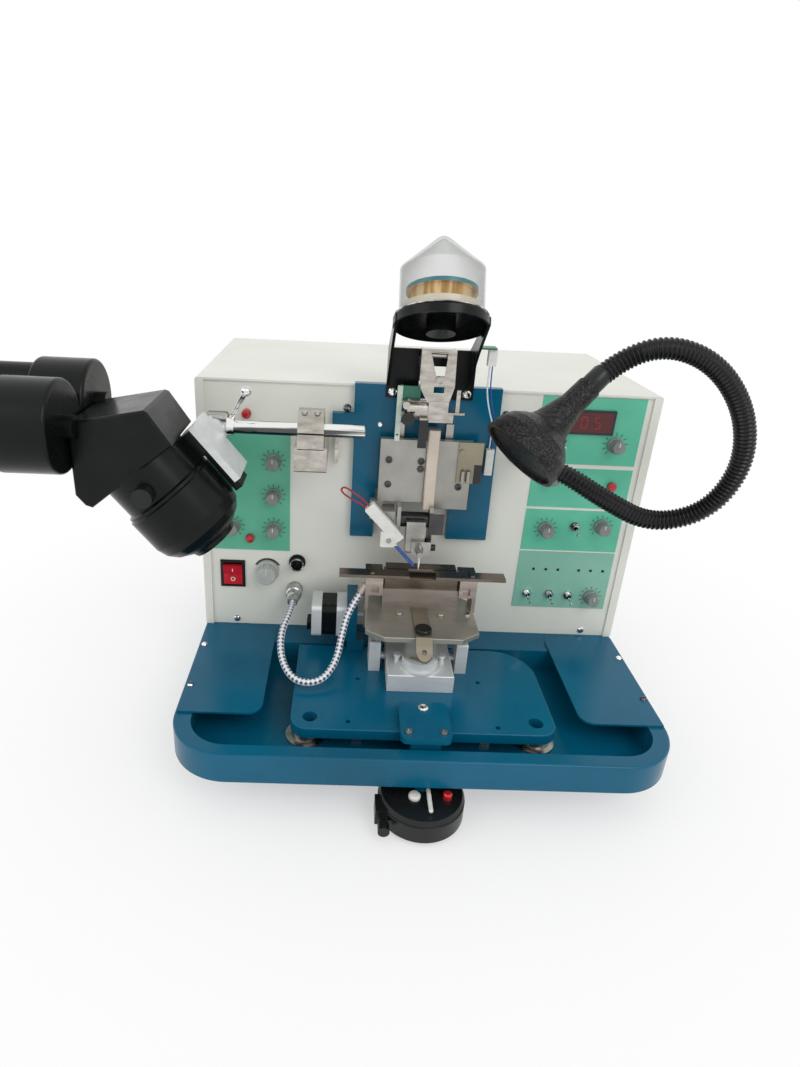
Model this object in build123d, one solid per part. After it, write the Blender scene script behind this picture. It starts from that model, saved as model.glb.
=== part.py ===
from build123d import *
from math import copysign, cos, pi, radians, sin, tan
import os

# Wire bonder: a manual ball bonder with its control cabinet on a stage tray.
# Origin: middle of the four feet on the bench. +X to the operator's right, +Y to the back, +Z up.
# All lengths are in millimetres. The front face of the control panel is the plane y = 0.

os.makedirs("parts", exist_ok=True)

# Running gaps
gap = 0.3                  # between bodies that pass each other
fit = 0.08                 # radial clearance of a shaft in its bore

# Feet
foot_height = 38.0
foot_top_radius = 19.0
foot_base_radius = 15.0
foot_bore_radius = 3.4     # tapped hole for a hold-down bolt
foot_bore_depth = 24.0
foot_inset = 55.0          # from the tray's side to the middle of a foot
feet_spacing_y = 224.0

# Tray
tray_width = 440.0
tray_front = -200.5
tray_height = 28.0
tray_corner_radius = 52.0
tray_edge_round = 2.0
tray_wall = 3.0
tray_floor = 3.6
pocket_side_rim = 16.0
pocket_front = -187.0
pocket_rear = -34.0
pocket_corner_radius = 34.0
arm_window_width = 58.0
arm_window_rear = -164.0
deck_rear = 10.0

# Cabinet
cabinet_depth = 223.0
cabinet_height = 266.0
sheet_wall = 2.0
cabinet_edge_round = 3.0
cabinet_lip = 2.0          # how far the cover stands in front of the panel
side_flange = 6.0
panel_thickness = 2.0
panel_play = 0.1
vent_length = 46.0
vent_width = 4.0
vent_pitch = 11.0
vent_count = 7

# Places across the panel count from its right side, and from its left side where they are negative.
# The second number of a place is its height above the bench.

# Printed panel sheets and the display window
sheet_thickness = 0.8
left_sheet_sides = (-8.5, -89.0)
left_sheet_levels = (155.5, 288.0)
right_sheet_sides = (113.0, 14.0)
right_sheet_levels = [(262.0, 328.5), (216.0, 257.5), (168.0, 213.0), (100.0, 166.0)]
display_sides = (98.0, 42.0)
display_levels = (293.0, 316.5)
display_depth = 3.4

# Controls on the panel
knob_radius = 7.8
knob_height = 13.0
knob_shaft_radius = 3.0
knob_flutes = 10
small_knobs = {
    "knob_search_height_1": (-72.7, 252.5),
    "knob_bond_power_1": (-72.7, 216.7),
    "knob_bond_time_1": (-72.7, 180.5),
    "knob_bond_force_1": (-31.4, 182.1),
    "knob_temperature": (37.2, 283.3),
    "knob_spark_current": (93.7, 248.8),
    "knob_spark_time": (90.8, 192.3),
    "knob_tail_length": (34.4, 196.9),
    "knob_loop_height": (30.6, 114.7),
}
light_knob = (-66.1, 131.9)
light_knob_radius = 12.0
light_knob_height = 15.0
push_radius = 4.4
push_travel = 2.0
push_buttons = {
    "button_thread_lamp": (-47.6, 299.2),
    "button_reset": (-48.7, 169.3),
    "button_spark_test": (32.4, 240.6),
}
toggle_bush_radius = 3.0
toggle_tilt = 12.0
toggles = {
    "toggle_heater": (89.8, 285.8),
    "toggle_spark": (61.5, 195.5),
    "toggle_mode": (99.2, 116.8),
    "toggle_step": (75.6, 116.5),
    "toggle_clamp": (55.2, 116.1),
}
rocker = (-30.0, 127.2)
rocker_frame = (25.5, 31.0)
rocker_opening = (20.0, 26.4)
rocker_tilt = 8.0
socket = (-97.0, 143.0)
plug = (-94.5, 111.5)
plug_length = 29.0
socket_radius = 7.0
inlet = (70.0, 120.0)
inlet_width = 28.0
inlet_height = 48.0

# Screws in the panel's face
tray_screw_inset = 33.0
head_plate_screws = [(-77.5, 308.6), (73.5, 308.4)]

# Hand rests
rest_side_margin = 2.0
rest_width = 74.5
rest_front = -149.0
rest_rear = -8.0
rest_corner_radius = 13.0
rest_thickness = 2.0

# Stage: plate on ball units, guided by crossed rails
plate_half_width = 117.0
plate_front = -170.5
plate_rear = -44.0
plate_thickness = 10.0
plate_above_rim = 5.0
plate_corner_radius = 16.0
plate_far_corner_radius = 40.0
plate_hole_radius = 6.5
plate_hole_x = 100.0
plate_hole_y = -154.5
tapped_hole_radius = 2.2
tapped_holes = [(-57.5, -98.5), (57.5, -98.5), (64.8, -162.0), (-66.5, -159.4)]
stage_travel_x = 6.0
stage_travel_back = 9.0
stage_travel_front = 0.5
ball_radius = 9.5
ball_unit_radius = 18.0
ball_unit_x = 104.0
ball_unit_front = -145.0
ball_unit_rear = -62.0
rail_width = 9.0
rail_height = 4.5
y_rail_x = 58.0
x_rail_front = -126.0
x_rail_rear = -84.0
cross_plate_thickness = 2.6

# Bracket, arm and hand control
bracket_half_width = 22.0
bracket_front = -186.0
bracket_rear = -138.0
bracket_thickness = 6.0
bracket_screw_y = -146.2
arm_half_width = 13.0
arm_thickness = 6.0
leg_thickness = 7.0
mouse_place = (-1.0, -190.0)
mouse_radius = 37.5
mouse_bottom = 1.6
mouse_top = 26.0
white_button_place = (-8.0, -199.0)
white_button_radius = 5.2
red_button_place = (20.0, -199.0)
red_button_radius = 4.0
joystick_x = 4.0
joystick_pivot_y = -196.0
joystick_length = 22.0

# Drive motor of the step slide
motor_size = 35.2
motor_left = -105.0
motor_right = -70.0
motor_front = -50.0
motor_bottom = 84.4
motor_plate_thickness = 10.5
motor_plate_top = 127.0
motor_block_height = 11.5

# Work holder
step_block_half_width = 31.0
step_block_front = -116.0
step_block_rear = -57.0
step_block_height = 18.0
step_travel = 4.0
upright_inner = 36.5
upright_thickness = 11.0
upright_height = 32.0
upright_front = -85.0
upright_rear = -58.0
pedestal_y = -97.0
pedestal_radius = 17.0
pedestal_height = 11.0
table_turn = 5.0
table_half_width = 53.0
table_front = -110.0
table_front_half = 36.0
table_side_front = -98.0
table_rear = -26.0
table_underside = 121.3
table_thickness = 4.7
post_half_width = 16.0
post_front = -104.0
post_rear = -62.0
heater_half_width = 36.5
heater_front = -59.0
heater_depth = 26.0
heater_height = 22.0
heater_cap_height = 12.0
rail_plate_top = 166.0
rail_plate_thickness = 3.0
rail_plate_reach = 79.0
rail_plate_depth = 13.0
clamp_bar_width = 15.0
clamp_bar_thickness = 2.4
clamp_bar_tip = -129.0
clamp_bar_drop = 14.0
clamp_knob_y = -101.0
clamp_knob_radius = 7.8
clamp_knob_height = 3.4

# Bond head
head_plate_thickness = 8.0
head_plate_outline = [
    (-71.0, 334.0), (66.0, 334.0), (68.0, 179.5), (27.0, 179.5), (27.0, 231.0),
    (-47.0, 231.0), (-47.0, 179.0), (-70.0, 179.0), (-70.0, 285.0), (-91.0, 285.0),
    (-91.0, 305.0), (-71.0, 305.0),
]
head_middle_x = -3.5
head_rail_x = 23.2
head_rail_width = 7.0
head_rail_height = 5.0
head_rail_bottom = 233.0
head_rail_top = 300.0
slide_front = -22.0
slide_rear = -15.0
slide_bottom = 226.0
slide_top = 286.0
slide_left = (-45.0, -2.0)
slide_right = (9.4, 42.0)
spine = (-1.7, 9.1)
spine_front = -30.0
head_travel_up = 8.0
head_travel_down = 1.5
arm_pivot_y = -27.0
arm_pivot_z = 208.0
arm_pin_radius = 3.0
arm_swing = 1.5
tool_x = -4.0
tool_y = -57.0
tool_tip_above_work = 3.0
torch_pivot = (-33.0, -40.0, 192.0)
torch_swing = 12.0

# Spool on its leaning seat; heights on the spool count up its own axis from the top of the seat
spool_place = (-4.3, -60.0, 402.0)
spool_lean = 25.9
seat_radius = 39.3
seat_top_radius = 37.4
seat_wall = 2.0
seat_depth = 8.6
seat_arm_half_width = 12.0
spool_drive_radius = 12.0
spool_drive_depth = 14.0
spool_pin_radius = 4.0
spool_pin_height = 19.0
spool_base_radius = 33.1
spool_base_top = 7.7
winding_radius = 25.4
winding_top = 19.1
spool_flange_radius = 29.35
spool_flange_top = 22.6
cover_radius = 34.9
cover_wall = 1.2
cover_shoulder = 38.0
cover_apex = 66.7
cover_tip_radius = 6.0

# Bracket sheets that carry the seat
bracket_sheet = 3.0
side_sheet = 2.5
cheek_left = -42.5
cheek_right = 38.0
cheek_bottom = 323.0
cheek_top = 368.0
cheek_opening = (-13.0, 19.0, 353.0)

# Wire feed: guide frame, lamp and clamp coil in front of the bracket
feed_front = -36.0
feed_sheet = 2.2
feed_outline = [
    (-15.0, 372.0), (15.5, 372.0), (16.5, 340.0), (12.6, 325.5), (-6.9, 325.5), (-13.8, 338.0),
]
feed_vee = [(-7.0, 370.0), (8.2, 370.0), (6.8, 349.0), (-0.8, 349.0)]
feed_window = (-2.0, 7.4, 333.8, 339.8)
feed_bar = (-11.3, 27.5, 315.3, 317.2)
feed_post = (19.0, 22.5, 337.4)
feed_lip = (-5.3, 18.0, 307.1, 313.5)
coil_place = (-26.0, 316.5)
coil_radius = 10.0
coil_ends = (-24.0, -5.5)
feed_board = (-32.5, -12.0, 325.6, 337.4)
feed_strip = (-33.0, -28.4, 286.0)
lever_ends = (-12.5, -4.5, 283.5)
side_board = (34.0, 50.0, 373.8)
side_connector = (43.7, 51.0, 359.2)
head_connector = (56.5, 64.0, 251.5, 277.0)

# Microscope on its arm
arm_axis_y = -50.0
arm_axis_z = 300.0
arm_rod_radius = 6.0
arm_rod_left = -196.0
arm_rod_right = -61.0
rod_slide_travel = 12.0
clamp_left = -120.0
clamp_right = -97.0
clamp_block_left = -123.0
clamp_block_right = -94.0
clamp_block_bottom = 264.0
clamp_block_top = 286.5
clamp_top = 317.0
end_block_left = -202.0
end_block_right = -182.0
end_block_front = -58.0
end_block_rear = -40.0
scope_tilt = 39.7          # lean of the optical axis from the vertical
scope_centre = (-214.0, -105.0, 249.5)
scope_radius = 41.0
scope_neck_radius = 37.0
scope_end_radius = 22.0
prism_width = 72.0
prism_outline = [
    (-208.9, 309.2), (-227.0, 336.0), (-274.0, 326.5), (-286.0, 324.0),
    (-286.0, 266.0), (-279.0, 257.5), (-273.8, 255.8),
]
ocular_radius = 35.8
ocular_spacing = 74.0
ocular_right = -286.0
ocular_length = 46.0
ocular_z = 321.5
ocular_tube_radius = 15.0
ocular_tube_offset = 17.0
ocular_tube_length = 40.0
eyecup_radius = 17.5
eyecup_length = 16.0
zoom_knob_radius = 8.0
zoom_shaft_radius = 3.0
zoom_along_axis = -27.0
focus_travel = 8.0

# Lamp on its gooseneck
gooseneck_radius = 9.0
lamp_rim = (62.5, -108.0, 302.5)
lamp_axis = (0.687, 0.284, 0.668)
lamp_length = 80.0
lamp_rim_radius = 35.0
gooseneck_points = [
    (91.0, -6.0, 273.0), (92.0, -40.0, 277.0), (119.0, -62.0, 273.0), (156.0, -68.0, 252.0),
    (201.0, -70.0, 231.0), (246.0, -76.0, 247.0), (265.0, -80.0, 291.0), (253.0, -83.0, 339.0),
    (218.0, -85.0, 379.0), (174.0, -83.0, 393.0),
]

# Heater cable
cable_radius = 3.25
cable_loop = [
    (-133.5, -72.0, 103.0), (-131.0, -97.0, 88.5), (-116.5, -118.0, 79.5), (-92.5, -118.0, 79.5),
    (-78.5, -97.0, 88.5), (-74.0, -74.0, 106.0), (-68.0, -59.0, 123.5),
]
cable_straight = 16.7      # straight run out of the plug
gland_radius = 4.6
gland_length = 9.5

# Levels and places that follow from the sizes above
tray_bottom = foot_height
rim = tray_bottom + tray_height
floor_top = tray_bottom + tray_floor
cabinet_top = rim + cabinet_height
half_width = tray_width / 2
feet_spacing_x = tray_width - 2 * foot_inset
pocket_half_width = half_width - pocket_side_rim
rest_outer = half_width - rest_side_margin
rest_inner = rest_outer - rest_width
plate_top = rim + plate_above_rim
plate_bottom = plate_top - plate_thickness
tool_tip = rail_plate_top + tool_tip_above_work
table_top = table_underside + table_thickness
step_block_top = plate_top + step_block_height


def on_panel(inset, z):
    """A place on the panel, counted from its right side, or from its left side where negative."""
    return copysign(half_width, inset) - inset, z


small_knob_places = {name: on_panel(*place) for name, place in small_knobs.items()}
push_button_places = {name: on_panel(*place) for name, place in push_buttons.items()}
toggle_places = {name: on_panel(*place) for name, place in toggles.items()}
light_knob_place = on_panel(*light_knob)
rocker_place = on_panel(*rocker)
socket_place = on_panel(*socket)
plug_place = on_panel(*plug)
inlet_place = on_panel(*inlet)


def between(x0, x1, y0, y1, z0, z1):
    """A block between two corners."""
    return Pos((x0 + x1) / 2, (y0 + y1) / 2, (z0 + z1) / 2) * Box(x1 - x0, y1 - y0, z1 - z0)


def upright_bar(x, y, z0, z1, radius):
    """A round bar along Z."""
    return Pos(x, y, (z0 + z1) / 2) * Cylinder(radius, z1 - z0)


def crossways_bar(x0, x1, y, z, radius):
    """A round bar along X."""
    return Pos((x0 + x1) / 2, y, z) * Rot(0, 90, 0) * Cylinder(radius, x1 - x0)


def fore_and_aft_bar(x, y0, y1, z, radius):
    """A round bar along Y."""
    return Pos(x, (y0 + y1) / 2, z) * Rot(90, 0, 0) * Cylinder(radius, y1 - y0)


def revolve_up(points, x=0, y=0):
    """A turned piece on a vertical axis, from points of radius and height."""
    outline = make_face(Polyline([(r, 0, z) for r, z in points], close=True))
    return Pos(x, y, 0) * revolve(outline, Axis.Z)


def revolve_forward(points, x, y, z):
    """A turned piece on an axis along -Y, from points of radius and distance in front of y."""
    turned = revolve_up(points)
    return Pos(x, y, z) * Rot(90, 0, 0) * turned


def rounded_slab(x0, x1, y0, y1, z0, z1, radius):
    """A slab with four round upright corners."""
    outline = RectangleRounded(x1 - x0, y1 - y0, radius)
    return Pos((x0 + x1) / 2, (y0 + y1) / 2, z0) * extrude(outline, z1 - z0)


def panel_face(points, y, depth):
    """An outline in the XZ plane, thickened from y towards +Y by depth."""
    outline = make_face(Polyline([(x, y, z) for x, z in points], close=True))
    return extrude(outline, depth, dir=(0, 1, 0))


def bend_radii(points, share=0.45):
    """The radius of each bend: a share of the shorter run over the tangent of half the turn."""
    corners = [Vector(*p) for p in points]
    radii = []
    for before, here, after in zip(corners, corners[1:], corners[2:]):
        turn = (here - before).get_angle(after - here)
        shorter = min((here - before).length, (after - here).length)
        radii.append(share * shorter / tan(radians(turn / 2)))
    return radii


def bent_tube(points, radius, name):
    """A round tube along straight runs joined by tangent arcs."""
    radii = bend_radii(points)
    path = FilletPolyline(*points, radius=radii)
    section = Plane(origin=path @ 0, z_dir=path % 0) * Circle(radius)
    tube = sweep(section, path)
    print(name, "radii", [round(r, 1) for r in radii], "length", round(path.length, 1),
          "volume over section times length", round(tube.volume / (pi * radius**2 * path.length), 4))
    return tube


def merged(pieces):
    """Pieces of one casting joined into one solid."""
    whole = pieces[0]
    for piece in pieces[1:]:
        whole = whole + piece
    return whole


def save(name, *pieces):
    """Write one node, which holds one solid or a group of separate ones."""
    solids = []
    for piece in pieces:
        solids.extend(piece.solids())
    shape = solids[0] if len(solids) == 1 else Compound(children=solids)
    export_step(shape, f"parts/{name}.step")


# Feet

def make_feet():
    feet = []
    for x in (-feet_spacing_x / 2, feet_spacing_x / 2):
        for y in (-feet_spacing_y / 2, feet_spacing_y / 2):
            profile = [
                (foot_bore_radius, 0), (foot_base_radius - 2, 0), (foot_base_radius, 2),
                (foot_top_radius, foot_height - 4), (foot_top_radius, foot_height), (0, foot_height),
                (0, foot_bore_depth), (foot_bore_radius, foot_bore_depth),
            ]
            feet.append(revolve_up(profile, x, y))
    save("rubber_feet", *feet)


# Tray

def tray_outline(inset):
    """The tray seen from above, drawn in by inset, with round front corners."""
    rear = cabinet_depth - inset
    front = tray_front + inset
    width = tray_width - 2 * inset
    sheet = Pos(0, (rear + front) / 2) * Rectangle(width, rear - front)
    front_corners = sheet.vertices().group_by(Axis.Y)[0]
    return fillet(front_corners, tray_corner_radius - inset)


def pocket_outline(grow):
    """The pocket seen from above, grown by grow on every side."""
    rear = pocket_rear + grow
    front = pocket_front - grow
    width = 2 * (pocket_half_width + grow)
    return Pos(0, (rear + front) / 2) * RectangleRounded(width, rear - front, pocket_corner_radius + grow)


def make_tray():
    tray = Pos(0, 0, tray_bottom) * extrude(tray_outline(0), tray_height)
    top_edges = tray.edges().group_by(Axis.Z)[-1].sort_by(Axis.Y)[:-1]
    tray = fillet(top_edges, tray_edge_round)
    tray -= Pos(0, 0, floor_top) * extrude(pocket_outline(0), tray_height)
    # the rim is a folded channel, open below
    channel = tray_outline(tray_wall) - pocket_outline(tray_wall)
    channel = channel & (Pos(0, tray_front / 2 + pocket_rear) * Rectangle(tray_width, -tray_front))
    tray -= Pos(0, 0, tray_bottom) * extrude(channel, tray_height - tray_wall)
    # behind the pocket the tray is hollow and opens into the cabinet
    inner = half_width - tray_wall
    hollow_front = pocket_rear + tray_wall
    hollow_rear = cabinet_depth - tray_wall
    tray -= between(-inner, inner, hollow_front, hollow_rear, floor_top, rim - tray_wall)
    tray -= between(-inner, inner, deck_rear, hollow_rear, floor_top, rim + 1)
    window = between(-arm_window_width / 2, arm_window_width / 2, pocket_front + gap + 2,
                     arm_window_rear, tray_bottom - 1, floor_top + 1)
    tray -= window
    save("tray", tray)


# Cabinet

def vent_cutters():
    """Rows of round-ended vent slots in both side walls and in the back."""
    cutters = []
    slot = Rot(90, 0, 0) * extrude(SlotOverall(vent_length, vent_width), 3 * sheet_wall, both=True)
    side_slot = Rot(0, 0, 90) * slot
    for number in range(vent_count):
        z = rim + 120 + number * vent_pitch
        for x in (-half_width, half_width):
            cutters.append(Pos(x, cabinet_depth * 0.68, z) * side_slot)
        for x in (-120, -60, 0):
            cutters.append(Pos(x, cabinet_depth, z) * slot)
    return cutters


def make_cabinet_cover():
    outer = between(-half_width, half_width, -cabinet_lip, cabinet_depth, rim, cabinet_top)
    outer = fillet(outer.edges().filter_by(Axis.Y).group_by(Axis.Z)[-1], cabinet_edge_round)
    inner = between(-half_width + sheet_wall, half_width - sheet_wall, -cabinet_lip - 1,
                    cabinet_depth - sheet_wall, rim - 1, cabinet_top - sheet_wall)
    cover = outer - inner
    for side in (-1, 1):
        edge = side * (half_width - sheet_wall)
        inside = side * (half_width - sheet_wall - side_flange)
        cover += between(min(edge, inside), max(edge, inside), -cabinet_lip, 0, rim, cabinet_top - sheet_wall)
    for cutter in vent_cutters():
        cover -= cutter
    cover -= between(head_plate_outline[0][0] - gap, head_plate_outline[1][0] + gap, -cabinet_lip - 1, 0,
                     cabinet_top - 2 * sheet_wall, cabinet_top + 1)
    x, z = inlet_place
    cover -= between(x - inlet_width / 2, x + inlet_width / 2, cabinet_depth - 9, cabinet_depth + 1,
                     z - inlet_height / 2, z + inlet_height / 2)
    save("cabinet_cover", cover)


def shaft_hole(x, z, radius):
    return fore_and_aft_bar(x, -sheet_thickness - 1, panel_thickness + 1, z, radius)


def control_cutters():
    """The holes that the controls pass through."""
    holes = [shaft_hole(x, z, knob_shaft_radius + fit) for x, z in small_knob_places.values()]
    holes.append(shaft_hole(*light_knob_place, knob_shaft_radius + fit))
    holes += [shaft_hole(x, z, push_radius + fit) for x, z in push_button_places.values()]
    holes += [shaft_hole(x, z, toggle_bush_radius) for x, z in toggle_places.values()]
    holes += [shaft_hole(x, z, socket_radius) for x, z in (socket_place, plug_place)]
    x, z = rocker_place
    holes.append(between(x - rocker_opening[0] / 2 - 1, x + rocker_opening[0] / 2 + 1, -2,
                         panel_thickness + 1, z - rocker_opening[1] / 2 - 1, z + rocker_opening[1] / 2 + 1))
    return holes


def make_front_panel():
    edge = half_width - sheet_wall - panel_play
    panel = between(-edge, edge, 0, panel_thickness, rim + panel_play, cabinet_top - sheet_wall - panel_play)
    for hole in control_cutters():
        panel -= hole
    save("front_panel", panel)


def make_panel_sheets():
    sheets = []
    cutters = control_cutters()
    places = [(left_sheet_sides, left_sheet_levels)]
    places += [(right_sheet_sides, levels) for levels in right_sheet_levels]
    for sides, levels in places:
        x0, z0 = on_panel(sides[0], levels[0])
        x1, z1 = on_panel(sides[1], levels[1])
        sheet = between(x0, x1, -sheet_thickness, 0, z0, z1)
        for cutter in cutters:
            sheet -= cutter
        sheets.append(sheet)
    x0, z0 = on_panel(display_sides[0], display_levels[0])
    x1, z1 = on_panel(display_sides[1], display_levels[1])
    window = between(x0, x1, -display_depth, -sheet_thickness, z0, z1)
    window -= between(x0 + 2, x1 - 2, -display_depth - 1, -display_depth + 1, z0 + 2, z1 - 2)
    save("panel_sheets", *sheets, window)


# Controls

def fluted_knob(x, z, radius, height):
    """A knob with finger flutes, a skirt, a pointer groove and its shaft."""
    back = sheet_thickness + gap
    front = back + height
    body = revolve_forward([
        (0, back), (radius, back), (radius, back + 2.4), (radius * 0.86, back + 3.4),
        (radius * 0.80, front - 1), (radius * 0.72, front), (0, front),
    ], x, 0, z)
    for number in range(knob_flutes):
        turn = 2 * pi * number / knob_flutes
        reach = radius * 0.92
        body -= fore_and_aft_bar(x + reach * cos(turn), -front - 1, -back - 3.4,
                                 z + reach * sin(turn), radius * 0.13)
    body -= between(x - 0.5, x + 0.5, -front - 1, -front + 0.7, z + 0.5, z + radius)
    return body + fore_and_aft_bar(x, -back - 1, panel_thickness + 4, z, knob_shaft_radius)


def make_knobs():
    for name, (x, z) in small_knob_places.items():
        save(name, fluted_knob(x, z, knob_radius, knob_height))
    save("knob_light", fluted_knob(*light_knob_place, light_knob_radius, light_knob_height))


def make_push_buttons():
    for name, (x, z) in push_button_places.items():
        dome = revolve_forward([
            (0, -panel_thickness - 3.1), (push_radius + 1.6, -panel_thickness - 3.1),
            (push_radius + 1.6, -panel_thickness - gap), (push_radius, -panel_thickness - gap),
            (push_radius, 4.6), (push_radius * 0.8, 5.6), (push_radius * 0.4, 6.1), (0, 6.2),
        ], x, 0, z)
        save(name, dome)


def make_toggles():
    for name, (x, z) in toggle_places.items():
        lever = revolve_up([
            (0, -1.2), (1.3, -0.8), (1.7, 0), (1.3, 0.8), (0.9, 1.6), (1.0, 9), (1.5, 13.5),
            (1.2, 14.6), (0, 15),
        ])
        save(name, Pos(x, -2.4, z) * Rot(90 + toggle_tilt, 0, 0) * lever)


def make_rocker():
    x, z = rocker_place
    half = rocker_opening[1] / 2 - 1.4
    profile = [(-3.6, -half), (-2.0, 0), (-3.6, half), (3.0, half * 0.8), (3.0, -half * 0.8)]
    outline = make_face(Polyline([(0, y, h) for y, h in profile], close=True))
    width = rocker_opening[0] - 2 * gap
    paddle = Pos(-width / 2, 0, 0) * extrude(outline, width, dir=(1, 0, 0))
    pivot = Pos(0, 1.5, 0) * Rot(rocker_tilt, 0, 0) * Pos(0, -1.5, 0)
    save("power_rocker", Pos(x, 0, z) * pivot * paddle)


def make_electrical_sockets():
    """Rocker bezel, toggle bushes, round connectors, cable plug and mains inlet."""
    pieces = []
    x, z = rocker_place
    frame_x, frame_z = rocker_frame
    bezel = between(x - frame_x / 2, x + frame_x / 2, -2.2, 0, z - frame_z / 2, z + frame_z / 2)
    bezel = chamfer(bezel.edges().group_by(Axis.Y)[0], 0.9)
    bezel += between(x - rocker_opening[0] / 2 - 0.9, x + rocker_opening[0] / 2 + 0.9, 0, 12,
                     z - rocker_opening[1] / 2 - 0.9, z + rocker_opening[1] / 2 + 0.9)
    bezel -= between(x - rocker_opening[0] / 2, x + rocker_opening[0] / 2, -3, 11,
                     z - rocker_opening[1] / 2, z + rocker_opening[1] / 2)
    pieces.append(bezel)
    for x, z in toggle_places.values():
        bush = revolve_forward([
            (2.1, -panel_thickness - 1), (2.1, 6.2), (toggle_bush_radius, 6.2),
            (toggle_bush_radius, -panel_thickness - 1),
        ], x, 0, z)
        nut = Pos(x, -sheet_thickness, z) * Rot(90, 0, 0) * extrude(RegularPolygon(5.0, 6), 2)
        nut -= fore_and_aft_bar(x, -4, 0, z, toggle_bush_radius)
        pieces += [bush + nut]
    x, z = socket_place
    shell = revolve_forward([
        (0, -8), (socket_radius, -8), (socket_radius, 0), (8.6, 0), (8.6, 2), (socket_radius, 2),
        (socket_radius, 8), (5.9, 8), (5.9, 1), (0, 1),
    ], x, 0, z)
    for number in range(5):
        turn = radians(-54 + 72 * number)
        shell += fore_and_aft_bar(x + 3.4 * cos(turn), -6.5, 0, z + 3.4 * sin(turn), 0.7)
    pieces.append(shell)
    x, z = plug_place
    exit_y = plug_length
    plug = revolve_forward([
        (0, -8), (socket_radius, -8), (socket_radius, 0), (8.6, 0), (8.6, 2), (7.4, 2.2),
        (7.4, 4), (8.2, 4.6), (8.2, 13), (7.2, 13.8), (6.6, 20), (5.4, 22), (5.2, exit_y), (0, exit_y),
    ], x, 0, z)
    pieces.append(plug)
    x, z = inlet_place
    inlet = between(x - inlet_width / 2, x + inlet_width / 2, cabinet_depth - 20, cabinet_depth + 0.02,
                    z - inlet_height / 2, z + inlet_height / 2)
    inlet += rounded_slab(x - inlet_width / 2 - 11, x + inlet_width / 2 + 11, z - inlet_height / 2 - 3,
                          z + inlet_height / 2 + 3, 0, 3, 4).rotate(Axis.X, 90).translate((0, cabinet_depth + 3, 0))
    inlet -= between(x - 11, x + 11, cabinet_depth - 13, cabinet_depth + 4, z - 3, z + 14)
    for offset in (-6.5, 0, 6.5):
        inlet += between(x + offset - 1, x + offset + 1, cabinet_depth - 14, cabinet_depth - 1, z + 3, z + 8)
    inlet += between(x - 10, x + 10, cabinet_depth + 3, cabinet_depth + 5, z - 19, z - 8)
    pieces.append(inlet)
    save("electrical_sockets", *pieces)


# Fasteners of the frame and the panel

def pan_screw_forward(x, y, z, radius=3.6):
    """A pan-head screw on a wall that faces -Y at y."""
    head = revolve_forward([(0, 0), (radius, 0), (radius, 1), (radius * 0.7, 2.1), (0, 2.5)], x, y, z)
    return head - between(x - 0.4, x + 0.4, y - 3, y - 1.6, z - radius, z + radius)


def pan_screw_up(x, y, z, radius=3.6):
    """A pan-head screw on a face that looks up at z."""
    head = revolve_up([(0, 0), (radius, 0), (radius, 1), (radius * 0.7, 2.1), (0, 2.5)])
    head -= between(-radius, radius, -0.4, 0.4, 1.6, 3)
    return Pos(x, y, z) * head


def make_fasteners():
    lower = [on_panel(side * tray_screw_inset, rim + 6.3) for side in (-1, 1)]
    screws = [pan_screw_forward(x, 0, z) for x, z in lower + head_plate_screws]
    screws.append(pan_screw_forward(-46, -head_plate_thickness, 296, 2.6))
    bracket_face = -head_plate_thickness - bracket_sheet
    screws += [pan_screw_forward(x, bracket_face, cheek_bottom + 5.3, 4) for x in (cheek_left + 6, cheek_right - 6)]
    for x in (-rest_outer + 4.5, rest_outer - 4.5):
        screws += [pan_screw_up(x, y, rim + rest_thickness, 3) for y in (-46, -112)]
    save("frame_screws", *screws)


# Hand rests

def make_hand_rests():
    rests = []
    for side in (-1, 1):
        inner, outer = side * rest_inner, side * rest_outer
        x0, x1 = min(inner, outer), max(inner, outer)
        slab = between(x0, x1, rest_front, rest_rear, rim, rim + rest_thickness)
        corners = slab.edges().filter_by(Axis.Z).sort_by(Axis.X)
        inside = corners[:2] if side > 0 else corners[-2:]
        rests.append(fillet(inside, rest_corner_radius))
    save("hand_rests", *rests)


# Stage

def ball_unit(x, y):
    """A ball in its cup on the pocket floor, with the ball free to roll."""
    ball_top = plate_bottom - gap
    centre = ball_top - ball_radius
    cup = revolve_up([
        (0, floor_top), (ball_unit_radius, floor_top), (ball_unit_radius, floor_top + 2.6),
        (ball_unit_radius - 4, floor_top + 3.4), (12.6, floor_top + 3.4), (12.6, centre + 2), (0, centre + 2),
    ], x, y)
    cup -= Pos(x, y, centre) * Sphere(ball_radius + gap)
    return [cup, Pos(x, y, centre) * Sphere(ball_radius)]


def make_rolling_guides():
    """Ball units, the two rails of the cross carriage and the two rails of the head slide."""
    pieces = []
    for x in (-ball_unit_x, ball_unit_x):
        for y in (ball_unit_front, ball_unit_rear):
            pieces += ball_unit(x, y)
    for x in (-y_rail_x, y_rail_x):
        pieces.append(between(x - rail_width / 2, x + rail_width / 2, x_rail_front - 26, x_rail_rear + 30,
                              floor_top, floor_top + rail_height))
    for x in (head_middle_x - head_rail_x, head_middle_x + head_rail_x):
        pieces.append(between(x - head_rail_width / 2, x + head_rail_width / 2,
                              -head_plate_thickness - head_rail_height, -head_plate_thickness,
                              head_rail_bottom, head_rail_top))
    save("guide_rails", *pieces)


cross_bottom = floor_top + rail_height + gap
cross_top = cross_bottom + cross_plate_thickness


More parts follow.
